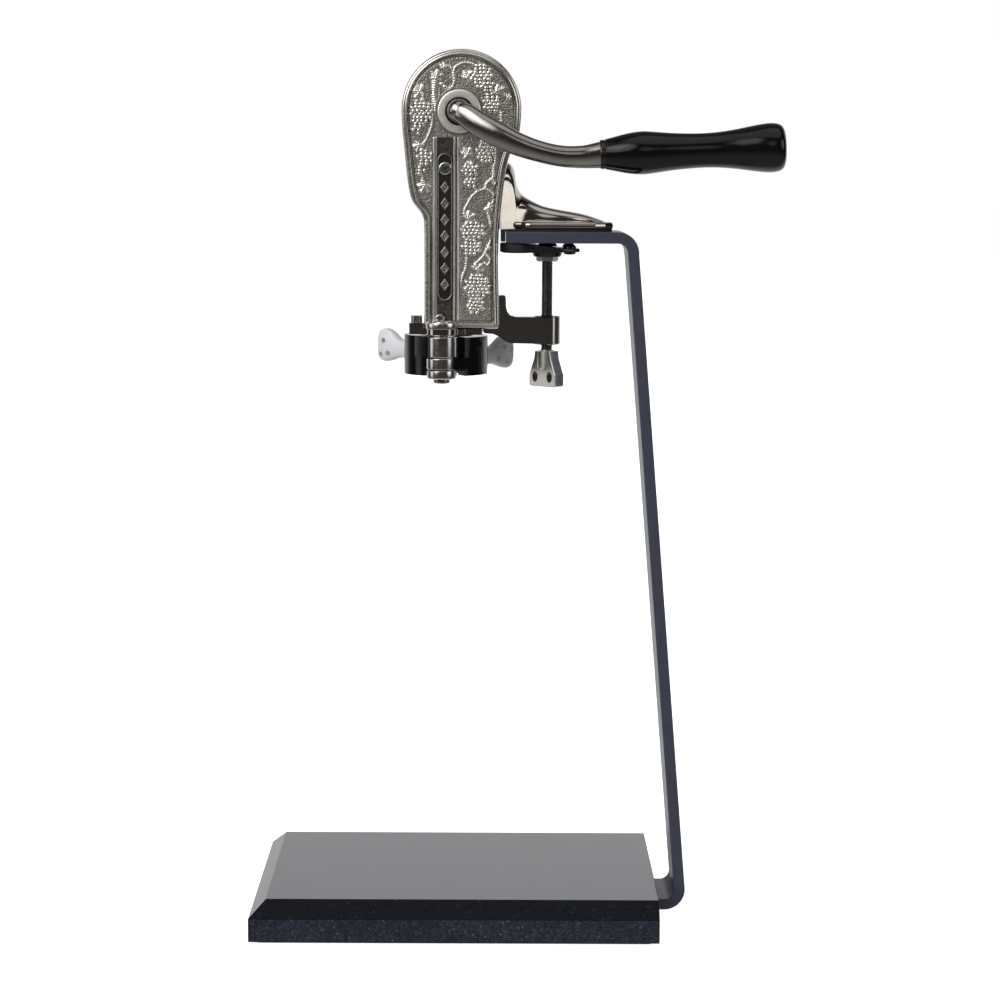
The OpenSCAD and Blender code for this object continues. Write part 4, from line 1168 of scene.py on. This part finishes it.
def jaws():
    # barrel: a flange, two knuckles and the end nut, all round one pin
    def knuckle(name, z0, z1, body, mt, nodes, r=10.2):
        pr = [(4.05, z0), (r - 0.7, z0), (r - 0.2, z0 + 0.2), (r, z0 + 0.7), (r, z1 - 0.7), (r - 0.2, z1 - 0.2), (r - 0.7, z1), (4.05, z1)]
        o = lathe(name, pr, (HX, HY, 0), (0, 0, 1), 96, angle=50)
        done(o, body, mt, nodes)
    knuckle("knuckle_left", 363.75, 377.35, "jaw_left", M_KNUCKLE, ["jaw_left"])
    knuckle("knuckle_right", 355.75, 363.25, "jaw_right", M_KNUCKLE, ["jaw_right"])
    pr = [(4.0, 349.4), (8.9, 349.4), (9.7, 349.9), (9.95, 350.6), (9.95, 354.7), (9.5, 355.2), (4.0, 355.2)]
    o = lathe("barrel_nut", pr, (HX, HY, 0), (0, 0, 1), 96, angle=50)
    done(o, "stand", M_KNUCKLE, ["jaw_pin_nut"])
    o = lathe("hinge_pin", rounded([(0, 346.4), (4.8, 346.4), (5.5, 347.2), (5.5, 349.3), (4.0, 349.4), (4.0, 386.0), (0, 386.0)], 0.3), (HX, HY, 0), (0, 0, 1), 64, closed=False)
    done(o, "stand", M_GUN, ["jaw_pin"])
    o = lathe("hinge_pin_head", rounded([(0, 386.0), (6.6, 386.0), (6.6, 387.0), (5.6, 387.8), (0, 388.2)], 0.3), (HX, HY, 0), (0, 0, 1), 64, closed=False)
    done(o, "stand", M_ARM, ["jaw_pin"])
    # bracket under the case
    f = lathe("flange_tmp", [(0, 378.05), (9.6, 378.05), (10.3, 378.7), (10.3, 385.7), (9.6, 386.4), (0, 386.4)], (HX, HY, 0), (0, 0, 1), 96, closed=False)
    o = prism("jaw_bracket", fillet([(-20.4, -22.3), (-19.2, -26.5), (1.2, -26.5), (6.5, -22.3), (17.8, -22.3), (17.8, 15.4), (-20.4, 15.4)], 1.2), 378.05, 381.85, axis="Z")
    e = prism("ear_tmp", fillet([(-31, -19), (-20.4, -19), (-20.4, -8), (-31, -8)], 1.5), 378.05, 385.4, axis="Z")
    cut(o, [f, e], "UNION")
    cs = [cyl("t1", 12.0, (WX, 0, 370), (WX, 0, 390), 72), cyl("t2", 4.1, (HX, HY, 370), (HX, HY, 390), 48), prism("t3", [(17.2, -9.7), (26, -9.7), (26, 9.7), (17.2, 9.7)], 370, 390, axis="Z")]
    cut(o, cs)
    bevel(o, 0.5, 2, 45)
    done(o, "stand", M_ARM, ["jaw_bracket"])
    o = lathe("bracket_cap", [(0, 382.3), (10.5, 382.3), (10.9, 382.7), (10.9, 386.1), (10.5, 386.6), (0, 386.6)], (HX, HY, 0), (0, 0, 1), 96, angle=50, closed=False)
    done(o, "stand", M_RIM, ())
    R = 4.0
    poly = [(-26 + R * math.cos(math.radians(a)), -13.5 + R * math.sin(math.radians(a))) for a in (0, 60, 120, 180, 240, 300)]
    o = prism("bracket_bolt", poly, 385.45, 390.3, axis="Z")
    bevel(o, 0.4, 2, 40)
    done(o, "stand", M_STEEL, ["bracket_screws"])
    for i, p in enumerate([(13, -12), (13, 12), (-17.6, 12.5), (-17.6, -12.5)]):
        o = lathe("bracket_screw_%d" % i, rounded([(0, 378.1), (2.75, 378.1), (2.75, 379.8), (1.6, 379.9), (1.6, 385.5), (0, 385.5)], 0.2), (p[0], p[1], 0), (0, 0, 1), 32, closed=False)
        done(o, "stand", M_STEEL, ["bracket_screws"])
    for s, nm, body in ((-1, "left", "jaw_left"), (1, "right", "jaw_right")):
        z0, z1 = 351.0, (377.2 if s < 0 else 376.4)
        r1 = 27.6 if s < 0 else 28.25
        o = prism("jaw_" + nm, fillet(plan(s, 18.4, r1), 0.0), z0, z1, axis="Z")
        k0, k1 = (363.75, 377.3) if s < 0 else (355.75, 363.25)
        poly = [(HX + s * 4.6, HY - 9.0), (HX + s * 11, HY - 4.5), (WX + s * 20, -19), (WX + s * 15.8, -12.2), (WX + s * 10.4, -15.6), (HX + s * 4.6, HY + 8.6)]
        a = prism("arm_tmp", poly, k0, k1, axis="Z")
        cut(o, [a], "UNION")
        cs = [cyl("k_tmp", 10.25, (HX, HY, 340), (HX, HY, 400), 96)]
        cut(o, cs)
        if s < 0:
            cut(o, [cyl("k2", 11.0, (HX, HY, 340), (HX, HY, 363.5), 96)])
        else:
            cut(o, [cyl("k2", 11.0, (HX, HY, 363.4), (HX, HY, 400), 96), cyl("k3", 11.0, (HX, HY, 340), (HX, HY, 355.5), 96)])
        bevel(o, 1.0, 4, 45)
        done(o, body, M_GLOSS, ["jaw_" + nm])
        o = prism("liner_" + nm, plan(s, 16.3, 18.35), 352.1, 375.3, axis="Z")
        bevel(o, 0.4, 2, 45)
        done(o, body, M_LINER, ["liner_" + nm])
        # flared paddle handle, in an upright plane running out and back
        ph = math.radians(42)
        ux, uy = math.cos(ph), math.sin(ph)
        zc, zn = (367.1, 364.7) if s < 0 else (362.9, 360.6)

        def at(u, t, z):
            return (WX + s * (u * ux + t * uy), u * uy - t * ux, z)
        ST = [(21.0, 8.6, 5.6, zn), (27.0, 8.2, 5.6, zn), (31.0, 6.8, 5.2, zn), (36.0, 5.9, 4.9, zn), (40.5, 6.2, 4.8, zn + 0.4), (44.5, 7.8, 4.9, zn + 1.2), (48.5, 9.9, 4.9, zn + 2.0), (52.5, 11.2, 4.9, zc), (56.0, 11.3, 4.8, zc), (58.8, 10.4, 4.4, zc), (60.5, 8.8, 3.5, zc), (61.4, 6.4, 2.1, zc)]
        if s > 0:
            ST = [(u - (0 if u < 36 else (u - 36) * 0.07), h, t, z) for u, h, t, z in ST]
        rings = []
        for u, h, t, z in catmull(ST, 4):
            ring = []
            for k in range(40):
                q = 2 * math.pi * k / 40
                cc, ss = math.cos(q), math.sin(q)
                e = 2 / 3.4
                ring.append(at(u, t * abs(cc) ** e * (1 if cc >= 0 else -1), z + h * abs(ss) ** (2 / 2.5) * (1 if ss >= 0 else -1)))
            rings.append(ring)
        o = loft_rings("handle_" + nm, rings, caps=(True, True), angle=55)
        holes = [(53.6, 370.0), (49.6, 361.4), (56.8, 360.4)] if s < 0 else [(48.9, 366.6), (44.0, 358.9), (52.6, 356.8), (56.9, 365.0)]
        cs = [cyl("hr", 27.7 if s < 0 else 28.4, (WX, 0, 340), (WX, 0, 400), 96)]
        for i, (u, z) in enumerate(holes):
            a0, a1 = at(u, -9, z), at(u, 9, z)
            cs.append(cyl("hh%d" % i, 2.0, a0, a1, 32))
        cut(o, cs)
        done(o, body, M_GREY, ["handle_" + nm])


M_KNUCKLE = metal("knuckle", (0.60, 0.58, 0.55), 0.17, var=0.05, rvar=0.06)
jaws()


# ------------------------------------------------------------------ inner parts keep their CAD shape
LOOK = {"case_ring": M_CASEWALL, "foot_screws": M_STEEL, "foot_inserts": M_BRASS, "cover_screws": M_STEEL, "case_floor": M_CASEWALL, "arm_screws": M_STEEL, "crank_shaft": M_STEEL, "crank_gear": M_BRASS,
        "idler_pin": M_STEEL, "idler_gear": M_BRASS, "pinion_pin": M_STEEL, "pinion_gear": M_BRASS, "guide_rods": M_STEEL, "guide_bridge": M_GREY, "carriage": M_GREY, "rack": M_STEEL,
        "rack_screws": M_STEEL, "worm": M_STEEL, "worm_bearing": M_BRASS, "worm_collar": M_NICKEL, "worm_nut": M_BRASS, "nut_pins": M_STEEL, "neck_stop": M_RUBBER_AND_GAP_SHADE}
for k, mt in LOOK.items():
    o = frame["nodes"][k]
    o.data.materials.clear()
    o.data.materials.append(mt)


# ------------------------------------------------------------------ stage, light, camera
SOFTBOXES = [((-0.60, -0.62, 0.50), 0.86, 0.93, 2.3), ((0.86, -0.46, 0.24), 0.93, 0.97, 1.7), ((-0.97, -0.16, 0.10), 0.955, 0.985, 1.2), ((0.15, -0.25, 0.95), 0.84, 0.93, 0.8), ((0.1, -0.93, 0.34), 0.975, 0.99, 0.7)]


def stage():
    me = bpy.data.meshes.new("floor")
    n, R = 64, 12.0
    v = [(0, 0, 0)] + [(R * math.cos(2 * math.pi * k / n), R * math.sin(2 * math.pi * k / n), 0) for k in range(n)]
    me.from_pydata(v, [], [[0, 1 + k, 1 + (k + 1) % n] for k in range(n)])
    o = bpy.data.objects.new("floor", me)
    scene.collection.objects.link(o)
    m, nt, b = mat("floor_pale")
    b.inputs["Base Color"].default_value = (0.93, 0.93, 0.93, 1)
    b.inputs["Emission Color"].default_value = (1, 1, 1, 1)
    b.inputs["Emission Strength"].default_value = 0.9
    b.inputs["Roughness"].default_value = 1.0
    b.inputs["Specular IOR Level"].default_value = 0.0
    me.materials.append(m)
    o.visible_glossy = False
    o.visible_diffuse = False
    w = bpy.data.worlds.new("studio")
    scene.world = w
    w.use_nodes = True
    nt = w.node_tree
    nt.nodes.clear()
    out = nt.nodes.new("ShaderNodeOutputWorld")
    tc = nt.nodes.new("ShaderNodeTexCoord")
    sep = nt.nodes.new("ShaderNodeSeparateXYZ")
    nt.links.new(tc.outputs["Generated"], sep.inputs[0])
    def op(kind, x, y=None, clamp=False):
        n = nt.nodes.new("ShaderNodeMath")
        n.operation = kind
        n.use_clamp = clamp
        for i, v in enumerate((x, y)):
            if v is None:
                continue
            if isinstance(v, (int, float)):
                n.inputs[i].default_value = v
            else:
                nt.links.new(v, n.inputs[i])
        return n.outputs[0]

    def smooth(sock, lo, hi, a=0.0, b=1.0):
        n = nt.nodes.new("ShaderNodeMapRange")
        n.interpolation_type = "SMOOTHSTEP"
        nt.links.new(sock, n.inputs["Value"])
        for k, v in (("From Min", lo), ("From Max", hi), ("To Min", a), ("To Max", b)):
            n.inputs[k].default_value = v
        return n.outputs["Result"]

    def box(d, lo, hi, v):
        n = nt.nodes.new("ShaderNodeVectorMath")
        n.operation = "DOT_PRODUCT"
        nt.links.new(tc.outputs["Generated"], n.inputs[0])
        n.inputs[1].default_value = Vector(d).normalized()
        return smooth(n.outputs["Value"], lo, hi, 0.0, v)

    X, Y, Z = sep.outputs["X"], sep.outputs["Y"], sep.outputs["Z"]
    # a white sweep behind, dimmer towards the ceiling, with dark flags at both sides
    back = op("MULTIPLY", smooth(Y, 0.12, 0.42, 0.0, 0.95), smooth(Z, 0.30, 0.62, 1.0, 0.14))
    back = op("MULTIPLY", back, smooth(op("ABSOLUTE", X), 0.74, 0.90, 1.0, 0.10))
    front = smooth(Y, -0.25, 0.15, 0.045, 0.0)
    low = op("MULTIPLY", smooth(Z, -0.75, -0.10, 0.42, 0.0), smooth(Y, 0.1, 0.4, 1.0, 0.0))
    tot = op("ADD", op("ADD", back, front), low)
    for bx in SOFTBOXES:
        tot = op("ADD", tot, box(*bx))
    env = nt.nodes.new("ShaderNodeBackground")
    nt.links.new(tot, env.inputs["Color"])
    env.inputs["Strength"].default_value = 1.0
    sky = nt.nodes.new("ShaderNodeBackground")
    sky.inputs["Color"].default_value = (1, 1, 1, 1)
    sky.inputs["Strength"].default_value = 1.0
    lp = nt.nodes.new("ShaderNodeLightPath")
    mx = nt.nodes.new("ShaderNodeMixShader")
    nt.links.new(lp.outputs["Is Camera Ray"], mx.inputs[0])
    nt.links.new(env.outputs[0], mx.inputs[1])
    nt.links.new(sky.outputs[0], mx.inputs[2])
    nt.links.new(mx.outputs[0], out.inputs[0])


def light(name, loc, size, energy, target=(0.02, 0, 0.42), col=(1, 1, 1)):
    L = bpy.data.lights.new(name, "AREA")
    L.shape = "RECTANGLE"
    L.size, L.size_y = size
    L.energy = energy
    L.color = col
    o = bpy.data.objects.new(name, L)
    scene.collection.objects.link(o)
    o.location = loc
    d = Vector(target) - Vector(loc)
    o.rotation_euler = d.to_track_quat("-Z", "Y").to_euler()


def camera():
    c = bpy.data.cameras.new("cam")
    c.sensor_width = 36.0
    c.lens = 2500 * 36.0 / 1000.0
    c.clip_start, c.clip_end = 0.05, 100
    o = bpy.data.objects.new("cam", c)
    scene.collection.objects.link(o)
    yaw, pitch, roll = math.radians(0.210), math.radians(7.758), math.radians(-0.293)
    R = Matrix.Rotation(-yaw, 3, "Z") @ Matrix.Rotation(math.radians(90) - pitch, 3, "X") @ Matrix.Rotation(-roll, 3, "Z")
    o.matrix_world = Matrix.Translation((0.02289, -1.6733, 0.50899)) @ R.to_4x4()
    scene.camera = o


stage()
light("key", (-1.6, -1.7, 1.9), (1.6, 1.6), 14, target=(0, 0, 0.45))
camera()
scene.view_settings.view_transform = "Standard"
